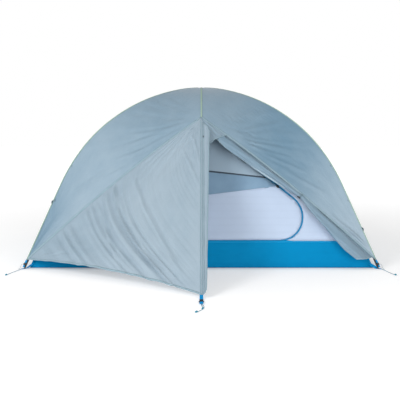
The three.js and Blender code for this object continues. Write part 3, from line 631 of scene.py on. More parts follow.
def roof(seed, side):
    """A roof panel with its wrinkles. They fade out at the seams, so that neighbouring panels meet."""
    t, v = square_grid(T, np.linspace(0, 1, COLS + 1))
    p = roof_patch(v[0])
    edge = clamp(6 * v * (1 - v)) * clamp(8 * t) * clamp(9 * (1 - t))
    pull = 0.010 * np.sin(math.pi * v) * np.sin(math.pi * t ** 0.8)
    height = 0.0035 * ripples(p, 0.23, seed) - pull
    for centre, row, rise, size, shift, reach, start in ROOF_PULLS[side]:
        creases = rise * rays(p, centre, normals(p)[row, COLS // 2], size, seed + shift)
        height = height + creases * bell(np.linalg.norm(p - centre, axis=-1), reach) * clamp((t - start) / 0.2)
    for line, rise, width in ROOF_FOLDS[side]:
        height = height + fold(p, roof_at(*np.array(line).T), rise * ROOF_FOLD_GAIN, width)
    return p + normals(p) * (height * edge)[..., None]


END_RISE = 0.015    # how far an end's hem lifts at its middle, as a share of the pole


def end_panel(seed):
    """The left end panel, ruled between its two poles, with a little sag and creases from its corners."""
    t, k = square_grid(T, np.linspace(-1, 1, END_COLS + 1))
    p = fly_pole(t * (1 - END_RISE * (1 - k ** 2)), -1, 1)
    p[..., 1] *= k
    edge = clamp(4 * (1 - k ** 2)) * clamp(6 * t)
    height = 0.005 * ripples(p * [1, 0.6, 1], 0.26, seed)
    height -= 0.012 * (1 - k ** 2) * np.sin(math.pi * t ** 1.3)
    for s in (-1, 1):
        for reach_in in (0.30, 0.55):
            corner = fly_pole(0.97, -1, 1) * [1, s, 1]
            inner = fly_pole(0.62 + 0.12 * reach_in, -1, 1) * [1, s * (1 - reach_in), 1]
            height = height + fold(p, [corner, (corner + inner) / 2, inner], 0.004, 0.018)
    out = np.where(normals(p)[..., :1] > 0, -1, 1) * normals(p)
    return p + out * (height * edge)[..., None]


def canopy():
    """The fly's roof: two ends and four panels, one cloth with its seams."""
    piece = Piece("fly_canopy")
    t, v = square_grid(T, np.linspace(0, 1, COLS + 1))
    # Painted shade: left and right set how much each roof panel darkens along and across it.
    left = 0.52 - 0.36 * clamp((t - 0.22) / 0.45) + 0.22 * clamp((t - 0.7) / 0.3)
    left = left - 0.10 * clamp(1 - t / 0.3) + 0.40 * clamp((1.1 - v) / 0.6) * clamp((t - 0.5) / 0.3)
    right = 0.46 + 0.32 * bell(t - 0.42, 0.18) - 0.40 * clamp((t - 0.55) / 0.4)
    for seed, scale, side in ((3, AS_MADE, 1), (11, MIRROR, -1), (19, HALF_TURN, 1), (23, FRONT_TO_REAR, -1)):
        piece.grid(roof(seed, side) * scale, FLY, tone=clamp(left if side > 0 else right))
    # Painted shade: the end panels darker towards their top.
    down = clamp(0.55 - 0.55 * T)[:, None] + np.zeros(END_COLS + 1)
    for seed, scale in ((31, AS_MADE), (37, MIRROR)):
        piece.grid(end_panel(seed) * scale, FLY, tone=down)
    return piece.build("fly", FABRIC, merge=0.0002, slot="fly_fabric", sharp=40)


fly_canopy = canopy()
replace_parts(fly_canopy, "fly_end_left", "fly_end_right", *[f"fly_roof_{c}" for c in CORNERS])


def beside(v, step, scale):
    """Points on a roof panel beside one of its long edges, at steps along it."""
    edge = roof_patch([v])[:, 0] * scale
    return np.stack([np.interp(step, T, edge[:, k]) for k in range(3)], axis=1)


def fly_seams():
    """The tapes on the fly: over the poles and the ridge, along the vestibule seams and the end hems."""
    piece = Piece("fly_seams")
    step = np.linspace(0.015, 0.995, 90)
    for sx, sy in CORNERS.values():
        line = fly_pole(step, sx, sy)
        to_end = np.array([0, -float(sy), 0])
        toward = beside(0.02, step, np.array([-sx, -sy, 1.0])) - line
        piece.strip(line, to_end, toward, 0.006, TAPE_LIFT, RIDGE_TAPE)
    ridge = ridge_point(np.linspace(-1, 1, 61))
    piece.strip(ridge, (1, 0, -0.05), (-1, 0, -0.05), 0.0055, TAPE_LIFT, RIDGE_TAPE)
    step = np.linspace(0.004, 0.99, 80)
    for scale in (AS_MADE, MIRROR, HALF_TURN, FRONT_TO_REAR):
        line = seam_point(step) * scale
        toward = beside(0.985, step, scale) - line
        piece.strip(line, toward, np.cross(FLAP_NORMAL, SEAM) * scale, 0.0075, 0.0014, FLY_TRIM)
    across = np.linspace(-0.995, 0.995, 60)
    for sx in (-1, 1):
        hem, above = (fly_pole(t - END_RISE * (1 - across ** 2), sx, 1) for t in (1, 0.985))
        hem[:, 1], above[:, 1] = hem[:, 1] * across, above[:, 1] * across
        up = unit(above - hem)
        piece.band(hem + up * 0.006, up, 0.0065, 0.0016, FLY_TRIM)
    return piece.build("fly", 0.0006)


fly_seams()

# ---- Vestibule halves ----
HEM_RISE, HEM_HALF, ZIP_GAP, FLAP_FOLD_GAIN = 0.038, 0.0062, 0.0094, 1.2
FLAP_ROWS, FLAP_COLS, STORM_COLS = 150, 170, 12
STORM_BACK = unit(np.array([0.93, 0.30, -0.15]))
INWARD = unit(np.cross(FLAP_NORMAL, SEAM))        # from the seam towards the zip, in the flap's plane
FLAP_FOLDS = [
    ([(0.40, 0.95), (0.45, 0.852), (0.608, 0.518), (0.78, 0.265), (0.95, 0.10)], 0.0080, 0.020),
    ([(0.50, 0.97), (0.535, 0.928), (0.668, 0.635), (0.832, 0.372), (0.985, 0.20)], 0.0080, 0.020),
    ([(0.60, 0.98), (0.625, 0.96), (0.712, 0.763), (0.855, 0.578), (0.985, 0.44)], 0.0070, 0.018),
    ([(0.12, 0.60), (0.165, 0.238), (0.348, 0.008)], 0.0050, 0.012),
    ([(0.22, 0.50), (0.32, 0.20), (0.46, 0.01)], 0.0040, 0.012),
]


def crease_start(a, b):
    """How far down the seam the crease through a point of a flap starts. The creases all sweep to the stake."""
    start = np.linspace(-0.6, 1.0, 160)
    found = np.zeros(a.shape)
    for i, row in enumerate(a[:, 0]):
        live = start < row - 0.002 if row > -0.5 else start < 0
        s = start[live]
        end = np.sign(s - 0.36) * np.abs((s - 0.36) / 0.64) ** 1.25
        across = 1 - (1 - end) * ((row - s) / (1 - s)) ** 0.92
        found[i] = np.interp(b[i], np.append(across, 1.0), np.append(s, row))
    return found


def flap_at(a, b, inset=0.0):
    """The front left half: a runs from the peak to the hem, b from the zip to the seam."""
    a, b = np.broadcast_arrays(np.asarray(a, float), np.asarray(b, float))
    k = b[..., None]
    zip_side = APEX + a[..., None] * (ZIP_LENGTH + 0.004) * ZIP + inset * ACROSS
    seam_side = seam_point(a * (1 - 0.006 / SEAM_LENGTH))
    hem = unit(CORNER - STAKE)
    lift = unit(np.cross(hem, FLAP_NORMAL))
    lift = lift if lift[2] > 0 else -lift
    return (1 - k) * zip_side + k * seam_side + (a ** 6 * 4 * b * (1 - b) * HEM_RISE)[..., None] * lift


def storm_width(a):
    """How far the storm flap reaches past the zip, by length down it."""
    down = [0, 0.026, 0.070, 0.110, 0.160, 0.300, 1.42, 1.490, 1.515, 1.530]
    return np.interp(a * ZIP_LENGTH, down, [0.0, 0.001, 0.014, 0.045, 0.060, 0.056, 0.034, 0.033, 0.024, 0.008])


def storm_reach(distance):
    """Where the storm flap's cloth is, from the zip line: level with the panel, then bent back over the zip."""
    w = np.asarray(distance, float)
    past, bend = w - 0.020, 0.026
    bent = np.where(past < bend, past ** 2 / (2 * bend), past - bend / 2)
    turned_back = np.where(past < 0, 0, bent)[..., None]
    return (w[..., None] - turned_back) * -ACROSS + turned_back * STORM_BACK


def flap(name, scale, body, node, storm, seed):
    """One vestibule half, made at the front left and scaled to its place, with bound edges."""
    a = np.linspace(0, 1, FLAP_ROWS + 1)
    rows, cols = square_grid(a, np.linspace(0, 1, FLAP_COLS + 1))
    p = flap_at(rows, cols, 0.0 if storm else ZIP_GAP)
    edge = clamp(12 * (1 - cols)) * clamp(0.15 + 8 * cols)
    edge = edge * clamp(10 * rows) * clamp(0.45 + 8 * (1 - rows))
    height = 0.0045 * ripples(p, 0.17, seed)
    height += 0.006 * np.sin(math.pi * cols) * np.sin(math.pi * rows)
    for centre, rise, reach in ((APEX, 0.0080, 0.50), (CORNER, 0.0050, 0.40)):
        away = np.linalg.norm(p - centre, axis=-1)
        height = height + rise * rays(p, centre, FLAP_NORMAL, 0.07, seed + 11) * bell(away, reach)
    crease = crease_start(rows, cols)
    strength = np.clip((crease - 0.16) / 0.3, 0.12, 1) * clamp((1.02 - crease) / 0.25)
    for size, rise, shift in ((0.026, 0.0185, 0), (0.013, 0.0078, 7)):
        where = np.stack([crease / size, 0.9 * rows, 0.6 * cols], axis=-1)
        height = height + rise * ripples(where, 1.0, seed + shift) * strength
    for line, rise, width in FLAP_FOLDS:
        height = height + fold(p, [flap_at(x, y) for x, y in line], rise * FLAP_FOLD_GAIN, width)
    p = p + FLAP_NORMAL * (height * edge)[..., None]
    piece = Piece(name)

    def binding(line, side, half, lift=TAPE_LIFT):
        piece.band(line * scale, side * scale, half, lift, FLY_TRIM)

    # Painted shade: the half darker towards the peak and in its lower part towards the seam, with faint bands
    # across it.
    piece.grid(p * scale, FLY, tone=0.10 * (1 - rows) + 0.04 * np.sin(9 * cols)
               + 0.16 * clamp((rows - 0.6) / 0.3) * clamp((cols - 0.3) / 0.35))
    if storm:
        k, width = np.meshgrid(np.linspace(0, 1, STORM_COLS + 1), storm_width(a))
        curl = 0.0015 * np.sin(a * 40)[:, None] * k
        q = p[:, :1] + storm_reach(width * k) + FLAP_NORMAL * curl[..., None]
        # Painted shade: the storm flap darker towards its turned-back edge.
        piece.grid(q * scale, FLY, tone=0.06 + 0.1 * k)
        rim = unit(storm_reach(0.05) - storm_reach(0.03))
        binding(q[6:, -1] - rim * 0.0030, rim, 0.0032)
        binding(p[3:, 0] + ACROSS * 0.0050, ACROSS, 0.0028)
        for reach in (0.007, 0.017):
            wide = width[:, -1] > reach + 0.005
            binding((p[:, 0] + storm_reach(reach) + FLAP_NORMAL * 0.0008)[wide], -ACROSS, 0.0022, 0.0010)
    else:
        binding(p[2:, 0] + ACROSS * 0.004, ACROSS, 0.0045)
    hem_up = unit(p[-3] - p[-1])
    binding(p[-1] + hem_up * HEM_HALF, hem_up, HEM_HALF, 0.0016)
    made = piece.build(None, FABRIC, merge=0.0002, slot="fly_fabric", sharp=40)
    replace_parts(made, node)
    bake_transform(made)


for flap_args in (("flap_front_left", AS_MADE, "front_flap", "vestibule_flap_front_left", True, 41),
             ("flap_rear_right", HALF_TURN, "rear_flap_right", "vestibule_flap_rear_right", False, 47),
             ("flap_rear_left", FRONT_TO_REAR, "rear_flap_left", "vestibule_flap_rear_left", False, 53)):
    flap(*flap_args)


def fly_zips():
    """Zip tape and coil: under the front storm flap, and half of it on each rear flap's edge."""
    line = APEX + np.linspace(0.10, ZIP_LENGTH - 0.035, 120)[:, None] * ZIP
    piece = Piece("fly_zip_front")
    under = line - FLAP_NORMAL * 0.004
    piece.band(under - ACROSS * 0.004, ACROSS, 0.011, COIL_TAPE_LIFT, DARK_TAPE)
    piece.tube(under - FLAP_NORMAL * 0.0008 - ACROSS * 0.013, 0.0020, GREY_COIL, 8, 0.7, FLAP_NORMAL)
    piece.build("front_flap", 0.0004)
    for name, scale, body in (("fly_zip_rear_right", HALF_TURN, "rear_flap_right"),
                              ("fly_zip_rear_left", FRONT_TO_REAR, "rear_flap_left")):
        piece = Piece(name)
        low = line - FLAP_NORMAL * 0.001
        piece.band((low + ACROSS * 0.0065) * scale, ACROSS * scale, 0.0055, COIL_TAPE_LIFT, DARK_TAPE)
        piece.tube((low + ACROSS * 0.0022) * scale, 0.0018, GREY_COIL, 8, 0.8, FLAP_NORMAL * scale)
        piece.build(body, 0.0004)


fly_zips()


# ---- The rolled-back half ----
# How far down the peak's lower edge is, from the zip (0) to the seam (1).
PEAK_EDGE = np.array([(0.0, 0.196), (0.30, 0.182), (0.42, 0.166), (0.55, 0.158), (0.75, 0.152), (1.0, 0.144)])


def peak():
    """The short stretch of the right half that stays zipped: it closes the vestibule's peak."""
    a, b = square_grid(np.linspace(0.004, 1, 26), np.linspace(0, 1, 34))
    reach = a * np.interp(b, PEAK_EDGE[:, 0], PEAK_EDGE[:, 1])
    p = flap_at(reach, b, 0.002) - FLAP_NORMAL * 0.0035 * (1 - b[..., None])
    edge = clamp(8 * b * (1 - b)) * clamp(5 * a)
    height = 0.003 * ripples(p, 0.05, 59)
    for line in ([(0.03, 0.7), (0.09, 0.75), (0.14, 0.72)], [(0.05, 0.4), (0.10, 0.5), (0.15, 0.55)]):
        height = height + fold(p, [flap_at(x, y) for x, y in line], 0.0045, 0.010)
    p = (p + FLAP_NORMAL * (height * edge)[..., None]) * MIRROR
    piece = Piece("peak_panel")
    # Painted shade: the peak panel evenly darker than the fly around it.
    piece.grid(p, FLY, tone=0.35)
    back = unit(p[-2] - p[-1])
    piece.band(p[-1] + back * 0.004, back, 0.0042, TAPE_LIFT, FLY_TRIM)
    made = piece.build("fly", FABRIC, slot="fly_fabric", sharp=40)


peak()

SEAM_RIGHT = SEAM * MIRROR
ROLL_SIDE = unit(ZIP - SEAM_RIGHT * (ZIP @ SEAM_RIGHT))
ROLL_OUT = unit(np.cross(SEAM_RIGHT, ROLL_SIDE))
ROLL_OUT = ROLL_OUT * np.sign(ROLL_OUT[2])
ROLL = np.array([
    # share of the seam, width, thickness, turns of the roll, and how far it hangs inside the seam
    (0.100, 0.060, 0.018, 2.0, 0.010), (0.125, 0.080, 0.030, 2.3, 0.013), (0.145, 0.084, 0.037, 2.5, 0.015),
    (0.17, 0.086, 0.044, 2.8, 0.018), (0.22, 0.084, 0.046, 3.2, 0.019), (0.34, 0.078, 0.046, 3.7, 0.016),
    (0.42, 0.062, 0.040, 4.4, 0.012),
    (0.500, 0.042, 0.032, 5.6, 0.008), (0.555, 0.029, 0.027, 6.6, 0.006), (0.575, 0.026, 0.025, 7.0, 0.005),
    (0.600, 0.034, 0.029, 6.6, 0.007), (0.65, 0.056, 0.040, 5.6, 0.012), (0.72, 0.076, 0.045, 5.6, 0.014),
    (0.80, 0.098, 0.046, 6.0, 0.016), (0.90, 0.110, 0.040, 6.2, 0.015), (0.985, 0.114, 0.030, 6.4, 0.012)])
TIE_AT, SEAM_GAP, ROLL_HEM_HALF = 0.575, 0.004, 0.005


def rolled_door():
    """The right half, rolled up under its seam: cloth that leaves the seam and winds round on itself."""
    share = np.linspace(ROLL[0, 0], ROLL[-1, 0], 150)
    s, k = square_grid(share, np.linspace(0, 1, 230) ** 0.9)
    w, h, turns, hang = (np.interp(share, ROLL[:, 0], column)[:, None] for column in ROLL.T[1:])
    angle = math.pi - 0.15 + k * turns * FULL_TURN
    shrink = 1 - 0.80 * k
    rib = 0.12 * np.sin(3 * angle + 11 * s) + 0.09 * np.sin(5 * angle - 17 * s)
    rib = rib + 0.10 * bell(s - TIE_AT, 0.05) * np.sin(8 * angle)
    rib = rib + 0.07 * bell(s - 0.40, 0.16) * np.sin(8 * angle + 23 * s)
    x = SEAM_GAP + w / 2 + w / 2 * shrink * (1 + rib) * np.cos(angle)
    y = h / 2 * shrink * (1 + rib) * np.sin(angle) - hang
    lead = clamp(k / 0.05)
    x, y = x * lead, y * lead - SEAM_GAP * (1 - lead)
    base = seam_point(share)[:, None] * MIRROR
    level = clamp((s - 0.78) / 0.205) ** 1.5 * (0.57 * -x + 1.15 * y)
    p = base + x[..., None] * ROLL_SIDE + y[..., None] * ROLL_OUT + level[..., None] * SEAM_RIGHT
    p = p + ROLL_OUT * (0.0020 * ripples(p, 0.05, 61))[..., None]
    piece = Piece("rolled_flap")
    # Painted shade: the roll darker on its inner turns.
    piece.grid(p, FLY, tone=0.42 + 0.35 * k ** 0.5)
    # A tape strip on the roll's upper half runs along the roll's outer edge, coloured paler than the other
    # bindings: a painted highlight along that edge.
    tape_at = FULL_TURN - np.arctan(1.327 * h / w) + 0.24
    at = np.flatnonzero(share < 0.50)
    edge = np.abs(angle - tape_at).argmin(axis=1)[at]
    line, before, after = p[at, edge], p[at, edge - 3], p[at, edge + 3]
    tape_face = unit(line - (base[at, 0] + (SEAM_GAP + w[at] / 2) * ROLL_SIDE - hang[at] * ROLL_OUT))
    piece.strip(line + tape_face * 0.0016, before - after, after - before, 0.0055, THIN_LIFT, ROLL_HIGHLIGHT_TAPE)
    hem_up = unit(p[-3] - p[-1])
    piece.band(p[-1] + hem_up * ROLL_HEM_HALF, hem_up, ROLL_HEM_HALF, TAPE_LIFT, FLY_TRIM)
    made = piece.build("fly", FABRIC, slot="fly_fabric", sharp=60)
    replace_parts(made, "rolled_door")
    return p[np.abs(share - TIE_AT).argmin()]


tied_row = rolled_door()


def tie_and_toggle():
    """The elastic that holds the roll, and the toggle through its loop."""
    centre = tied_row[6:].mean(0)
    angle = np.linspace(0, FULL_TURN, 41)[:-1]
    half_w, half_h = 0.0165, 0.0160
    loop = centre + half_w * np.cos(angle)[:, None] * ROLL_SIDE + half_h * np.sin(angle)[:, None] * ROLL_OUT
    outward = unit(loop - centre)
    band = Piece("door_tie_band")
    section = [(-0.005, 0), (-0.0045, 0.0012), (0.0045, 0.0012),
               (0.005, 0), (0.0045, -0.0008), (-0.0045, -0.0008)]
    rings = np.stack([loop + SEAM_RIGHT * x + outward * y for x, y in section], axis=1)
    rings = np.concatenate([rings, rings[:1]])
    band.grid(rings, ELASTIC, around=True)
    low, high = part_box("door_toggle")
    at = (np.array(low) + np.array(high)) / 2
    out = unit(at - centre)
    stem = np.linspace(0, 1, 8)[:, None]
    base = centre + out * 0.020
    for side in (-0.003, 0.003):
        band.tube(base + (at - base) * stem + SEAM_RIGHT * side * (1 - stem), 0.0011, ELASTIC, 8)
    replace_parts(band.build("fly", slot="elastic", merge=0.00005), "door_tie")
    toggle = Piece("door_toggle_peg")
    along = unit(SEAM_RIGHT - out * (SEAM_RIGHT @ out))
    step = np.linspace(-1, 1, 25)
    radius = 0.0050 * np.sqrt(np.clip(1 - np.abs(step) ** 5, 0.02, 1)) * (1 - 0.28 * bell(step, 0.16))
    toggle.tube(at + step[:, None] * 0.0115 * along, radius, BLACK, 16)
    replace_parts(toggle.build("toggle", slot="black_plastic", merge=0.00005), "door_toggle")


tie_and_toggle()


# ---- Inner tent ----
INNER_TOP = length_at(WALL_TOP, -INNER_HANG)
WALL_HEAD_Y = -on_pole(INNER_TOP, -INNER_HANG)[1]
WALL_RUN = WALL_FOOT_Y - WALL_HEAD_Y
WALL_UP = unit(np.array([0, WALL_RUN, WALL_TOP - TUB_HEIGHT]))
WALL_OUT = np.array([0, -WALL_UP[2], WALL_UP[1]])
ZIP_FALL = math.atan2(DOOR_APEX - SLIDER_AT, SLIDER_AT)
ARC_TOP = math.pi / 2 - ZIP_FALL
INNER_LINE = np.array([on_pole(x, -INNER_HANG) for x in np.linspace(INNER_TOP, LINE_LENGTH, 200)])


def half_length(height):
    """Half the inner tent's length at a height, from the pole line that it hangs under."""
    return np.interp(height, INNER_LINE[::-1, 2], -INNER_LINE[::-1, 0])


def wall_y(height):
    return WALL_FOOT_Y - WALL_RUN * (np.asarray(height) - TUB_HEIGHT) / (WALL_TOP - TUB_HEIGHT)


def on_wall(x, z, out=0.0):
    """A point on the front long wall, out from its inner face."""
    x, z, out = np.broadcast_arrays(np.asarray(x, float), np.asarray(z, float), np.asarray(out, float))
    return np.stack([x, -wall_y(z), z], axis=-1) + out[..., None] * WALL_OUT


def door_arc(radius, points=28):
    angle = np.linspace(ARC_TOP, -math.pi / 2, points)
    return np.stack([DOOR_ARC_X + radius * np.cos(angle), DOOR_ARC_Z + radius * np.sin(angle)], axis=1)


def white_top(x):
    """Where the solid lower cloth of a wall ends and its netting starts."""
    return 0.4544 + 0.1205 * np.asarray(x)


def net_top(x):
    return np.maximum(0.622 - 0.106 * np.asarray(x), white_top(x) + 0.002)


def inside(outline, points):
    """Which points lie inside a closed outline."""
    found = np.zeros(len(points), bool)
    for (x1, y1), (x2, y2) in zip(outline, np.roll(outline, -1, axis=0)):
        crosses = (y1 > points[:, 1]) != (y2 > points[:, 1])
        span = np.where(y2 == y1, 1e-12, y2 - y1)
        found ^= crosses & (points[:, 0] < (x2 - x1) * (points[:, 1] - y1) / span + x1)
    return found


def dense(line, step=0.02):
    """A line with points no further apart than step."""
    line = np.asarray(line, float)
    out = []
    for a, b in zip(line[:-1], line[1:]):
        n = max(1, math.ceil(np.linalg.norm(b - a) / step))
        out.extend(a + (b - a) * k / n for k in range(n))
    return np.array([*out, line[-1]])


def wall_panel(piece, outline, seed):
    """A flat-cut wall piece: white cloth below, a band of netting, and grey cloth above, softly rippled."""
    outline = dense(np.concatenate([outline, outline[:1]]))[:-1]
    low, high = outline.min(0), outline.max(0)
    gx, gz = np.meshgrid(np.arange(low[0] + 0.01, high[0], 0.024), np.arange(low[1] + 0.01, high[1], 0.024))
    inner = np.stack([gx.ravel(), gz.ravel()], axis=1)
    keep = inside(outline, inner)
    for band in (white_top, net_top):
        keep &= np.abs(inner[:, 1] - band(inner[:, 0])) > 0.009
    rim = dense(np.concatenate([outline, outline[:1]]), 0.005)
    near = np.min(np.linalg.norm(inner[:, None] - rim[None], axis=2), axis=1) > 0.011
    verts = [*outline, *inner[keep & near]]
    n = len(outline)
    edges = [(i, (i + 1) % n) for i in range(n)]
    x = np.arange(low[0] - 0.01, high[0] + 0.02, 0.02)
    for band in (white_top, net_top):
        edges += [(len(verts) + i, len(verts) + i + 1) for i in range(len(x) - 1)]
        verts.extend(np.stack([x, band(x)], axis=1))
    found = geometry.delaunay_2d_cdt([Vector(q) for q in verts], edges, [], 0, 1e-5)
    flat, faces = np.array(found[0]), [list(f) for f in found[2]]
    middle = np.array([flat[f].mean(0) for f in faces])
    corner = np.array([flat[f[:3]] for f in faces])
    one, two = corner[:, 1] - corner[:, 0], corner[:, 2] - corner[:, 0]
    sliver = np.abs(one[:, 0] * two[:, 1] - one[:, 1] * two[:, 0]) < 4e-6    # twice a face's area, m2
    held = inside(outline, middle) & ~sliver
    faces, middle = [f for f, k in zip(faces, held) if k], middle[held]
    used = sorted({i for f in faces for i in f})
    place = {k: i for i, k in enumerate(used)}
    faces, flat = [[place[i] for i in f] for f in faces], flat[used]
    edge_away = np.min(np.linalg.norm(flat[:, None] - outline[None], axis=2), axis=1)
    p = on_wall(flat[:, 0], flat[:, 1])
    soft = ripples(p * [1, 1, 0.55], 0.20, seed) * 0.006 + ripples(p * [1, 1, 0.3], 0.055, seed + 3) * 0.0016
    p = p + WALL_OUT * (0.0014 + soft * clamp(edge_away / 0.05))[:, None]
    pick = [WHITE if z < white_top(x) else NET if z < net_top(x) else PANEL for x, z in middle]
    piece.add(p, faces, flat, pick)


def wall_seams(piece, low_x, high_x):
    """The dark binding between netting and upper cloth, and a thin edge on the white cloth."""
    x = np.linspace(low_x, high_x, 40)
    for edge, half, material in ((net_top, 0.0055, DARK_TAPE), (white_top, 0.0035, WHITE)):
        piece.band(on_wall(x, edge(x), 0.0022), WALL_UP, half, THIN_LIFT, material)


DOOR_TOP = (0, DOOR_APEX - 0.012)
DOOR_OUTLINE = np.array([(-DOOR_HINGE_X + 0.008, TUB_HEIGHT + 0.0034), DOOR_TOP, *door_arc(DOOR_ARC_R)])
INNER_CLOTH = 0.0007


def door_line_x(z, side):
    """Where the door's edge crosses a height: its hinge line on the left, its zip on the right."""
    if side < 0:
        return -DOOR_HINGE_X * (DOOR_APEX - z) / (DOOR_APEX - TUB_HEIGHT)
    return min((DOOR_APEX - z) / math.tan(ZIP_FALL), DOOR_ARC_X + DOOR_ARC_R)


def finish_wall(piece, scale, body, node):
    piece.turn(scale)
    made = piece.build(body, INNER_CLOTH, slot="wall_fabric", sharp=30)
    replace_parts(made, node)


TUB_SWELL, GROUND = 0.014, 0.0012


def tub():
    """The bathtub floor: coated cloth that folds up into low walls, pulled out at its corners."""
    piece = Piece("tub_floor")
    rise = np.linspace(0, 1, 22)
    ring = []
    turns = [(-1, -1), (1, -1), (1, 1), (-1, 1), (-1, -1)]
    for a, b, count in zip(turns[:-1], turns[1:], (90, 70, 90, 70)):
        k = np.linspace(0, 1, count, endpoint=False)[:, None]
        ring.append(np.array(a) * (1 - k) + np.array(b) * k)
    ring = np.concatenate(ring)
    h = rise[None, :, None]
    foot_at = np.array([FLOOR_X + TUB_SWELL, FLOOR_Y + TUB_SWELL, GROUND])
    head_at = np.array([TUB_TOP_X - 0.001, TUB_TOP_Y - 0.001, TUB_HEIGHT])
    flat = np.concatenate([ring, np.ones((len(ring), 1))], axis=1)[:, None]
    foot, head = flat * foot_at, flat * head_at
    p = foot + (head - foot) * h
    facing = np.abs(ring[:, :1]) > np.abs(ring[:, 1:])
    out = np.where(facing, np.sign(ring) * [1, 0], np.sign(ring) * [0, 1])
    out = np.concatenate([out, np.zeros((len(ring), 1))], axis=1)[:, None]
    corner_away = np.linalg.norm((1 - np.abs(ring)) * [FLOOR_X, FLOOR_Y], axis=1)[:, None]
    calm = clamp(corner_away / 0.05) * clamp(np.sin(math.pi * h[..., 0])) ** 0.6
    soft = 0.0090 * ripples(p * [1, 1, 0.8], 0.12, 101) + 0.0045 * ripples(p * [1, 1, 1.6], 0.05, 103)
    soft += 0.004 * np.sin(math.pi * h[..., 0]) * bell(corner_away - 0.12, 0.09)
    p = p - out * 0.0015 + out * (soft * calm)[..., None]
    run = run_of(foot[:, 0])
    uv = np.stack(square_grid(run, np.linspace(0, 0.18, len(rise))), axis=-1)
    closed = np.concatenate([p, p[:1]])
    uv = np.concatenate([uv, uv[:1] + [[[run[-1] + 0.02, 0]]]])
    # Painted shade: the tub's walls darker towards the ground.
    piece.grid(closed, TUB, uv=uv, tone=0.18 * np.exp(-rise / 0.12))
    gx, gy = square_grid(np.linspace(-1, 1, 73), np.linspace(-1, 1, 57))
    floor_p = np.stack([gx, gy, 0 * gx + 1], axis=-1) * foot_at
    floor_edge = clamp(8 * (1 - np.abs(gx))) * clamp(8 * (1 - np.abs(gy)))
    floor_p[..., 2] += np.abs(ripples(floor_p, 0.12, 107)) * 0.004 * floor_edge
    # Painted shade: the tub's floor evenly darker.
    piece.grid(floor_p, TUB, tone=0.35)
    step = unit(closed[:, -2] - closed[:, -1])
    rim = closed[:, -1] + step * 0.004 + np.concatenate([out, out[:1]])[:, 0] * 0.001
    piece.band(rim, step, 0.0055, 0.0010, BLUE_TAPE)
    k = np.linspace(0.04, 0.97, 14)[:, None]
    for sx, sy in CORNERS.values():
        line = foot_at * (1 - k) * [sx, sy, 1] + head_at * k * [sx, sy, 1]
        piece.strip(line, (-sx, 0, 0), (0, -sy, 0), 0.006, TAPE_LIFT, BLUE_TAPE)
    made = piece.build("tent", 0.0010, slot="tub_fabric", sharp=40)
    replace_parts(made, "floor_tub")


tub()


def zip_edge(piece, outline, out, side, gap, half):
    """A zip's tape along a line on the wall, to its right (side 1) or its left (-1)."""
    path = dense(outline, 0.012)
    line = on_wall(path[:, 0], path[:, 1], out)
    away = unit(np.cross(np.gradient(line, axis=0), WALL_OUT))
    away = away * side * np.sign(away[0][0])
    piece.band(line + away * gap, away, half, ZIP_TAPE_LIFT, BLUE_TAPE)
    return line, away


def wall_coil(piece, line):
    piece.tube(line, 0.0018, BLUE_COIL, 10, 0.8, WALL_OUT)


def long_walls():
    """Both long walls: fixed cloth to each side of the D door, the door, and the coil zip round its edge."""
    z = np.linspace(TUB_HEIGHT + 0.0004, WALL_TOP - 0.0004, 24)
    rim = np.stack([half_length(z) - 0.005, z], axis=1)
    for end, scale, left, right in (("front", AS_MADE, "front_wall_left", "front_wall_right"),
                                    ("rear", HALF_TURN, "rear_wall_right", "rear_wall_left")):
        fixed = Piece(f"{left}_cloth")
        wall_panel(fixed, [(-DOOR_HINGE_X, z[0]), (0, DOOR_APEX), (-0.001, z[-1]), *(rim[::-1] * [-1, 1])], 71)
        wall_seams(fixed, -0.80, door_line_x(0.65, -1) - 0.02)
        hinge = on_wall(*dense([(-DOOR_HINGE_X, TUB_HEIGHT + 0.006), (0, DOOR_APEX)], 0.05).T, 0.0026)
        fixed.band(hinge, (1, 0, -0.7), 0.006, THIN_LIFT, WHITE)
        finish_wall(fixed, scale, "tent", left)
        fixed = Piece(f"{right}_cloth")
        arc = door_arc(DOOR_ARC_R + 0.003)
        arc = arc[arc[:, 1] > TUB_HEIGHT + 0.006]
        outline = [(0.001, z[-1]), (0.001, DOOR_APEX + 0.004), *arc, (DOOR_ARC_X + 0.080, z[0]), *rim]
        wall_panel(fixed, outline, 77)
        wall_seams(fixed, door_line_x(0.58, 1) + 0.02, 0.74)
        line, away = zip_edge(fixed, [(0.001, DOOR_APEX + 0.003), *arc], 0.0034, 1, 0.0026, 0.0012)
        wall_coil(fixed, line - away * 0.0004)
        finish_wall(fixed, scale, "tent", right)
        door = Piece(f"{end}_door_cloth")
        wall_panel(door, DOOR_OUTLINE, 83)
        wall_seams(door, door_line_x(0.66, -1) + 0.016, door_line_x(0.572, 1) - 0.008)
        zip_edge(door, [DOOR_TOP, *door_arc(DOOR_ARC_R)], 0.0030, -1, 0.0018, 0.0010)
        finish_wall(door, scale, f"{end}_door", f"{end}_inner_door")
        sill = Piece(f"{end}_sill_zip")
        x = np.linspace(-DOOR_HINGE_X + 0.012, DOOR_ARC_X + 0.02, 90)
        wall_coil(sill, on_wall(x, TUB_HEIGHT + 0.0035, 0.0046))
        x = np.linspace(-DOOR_HINGE_X - 0.01, DOOR_ARC_X + 0.10, 90)
        sill.band(on_wall(x, TUB_HEIGHT + 0.002, -0.0016), WALL_UP, 0.009, ZIP_TAPE_LIFT, BLUE_TAPE)
        sill.turn(scale)
        sill.build("tent")


long_walls()


END_WHITE_TOP = 0.430


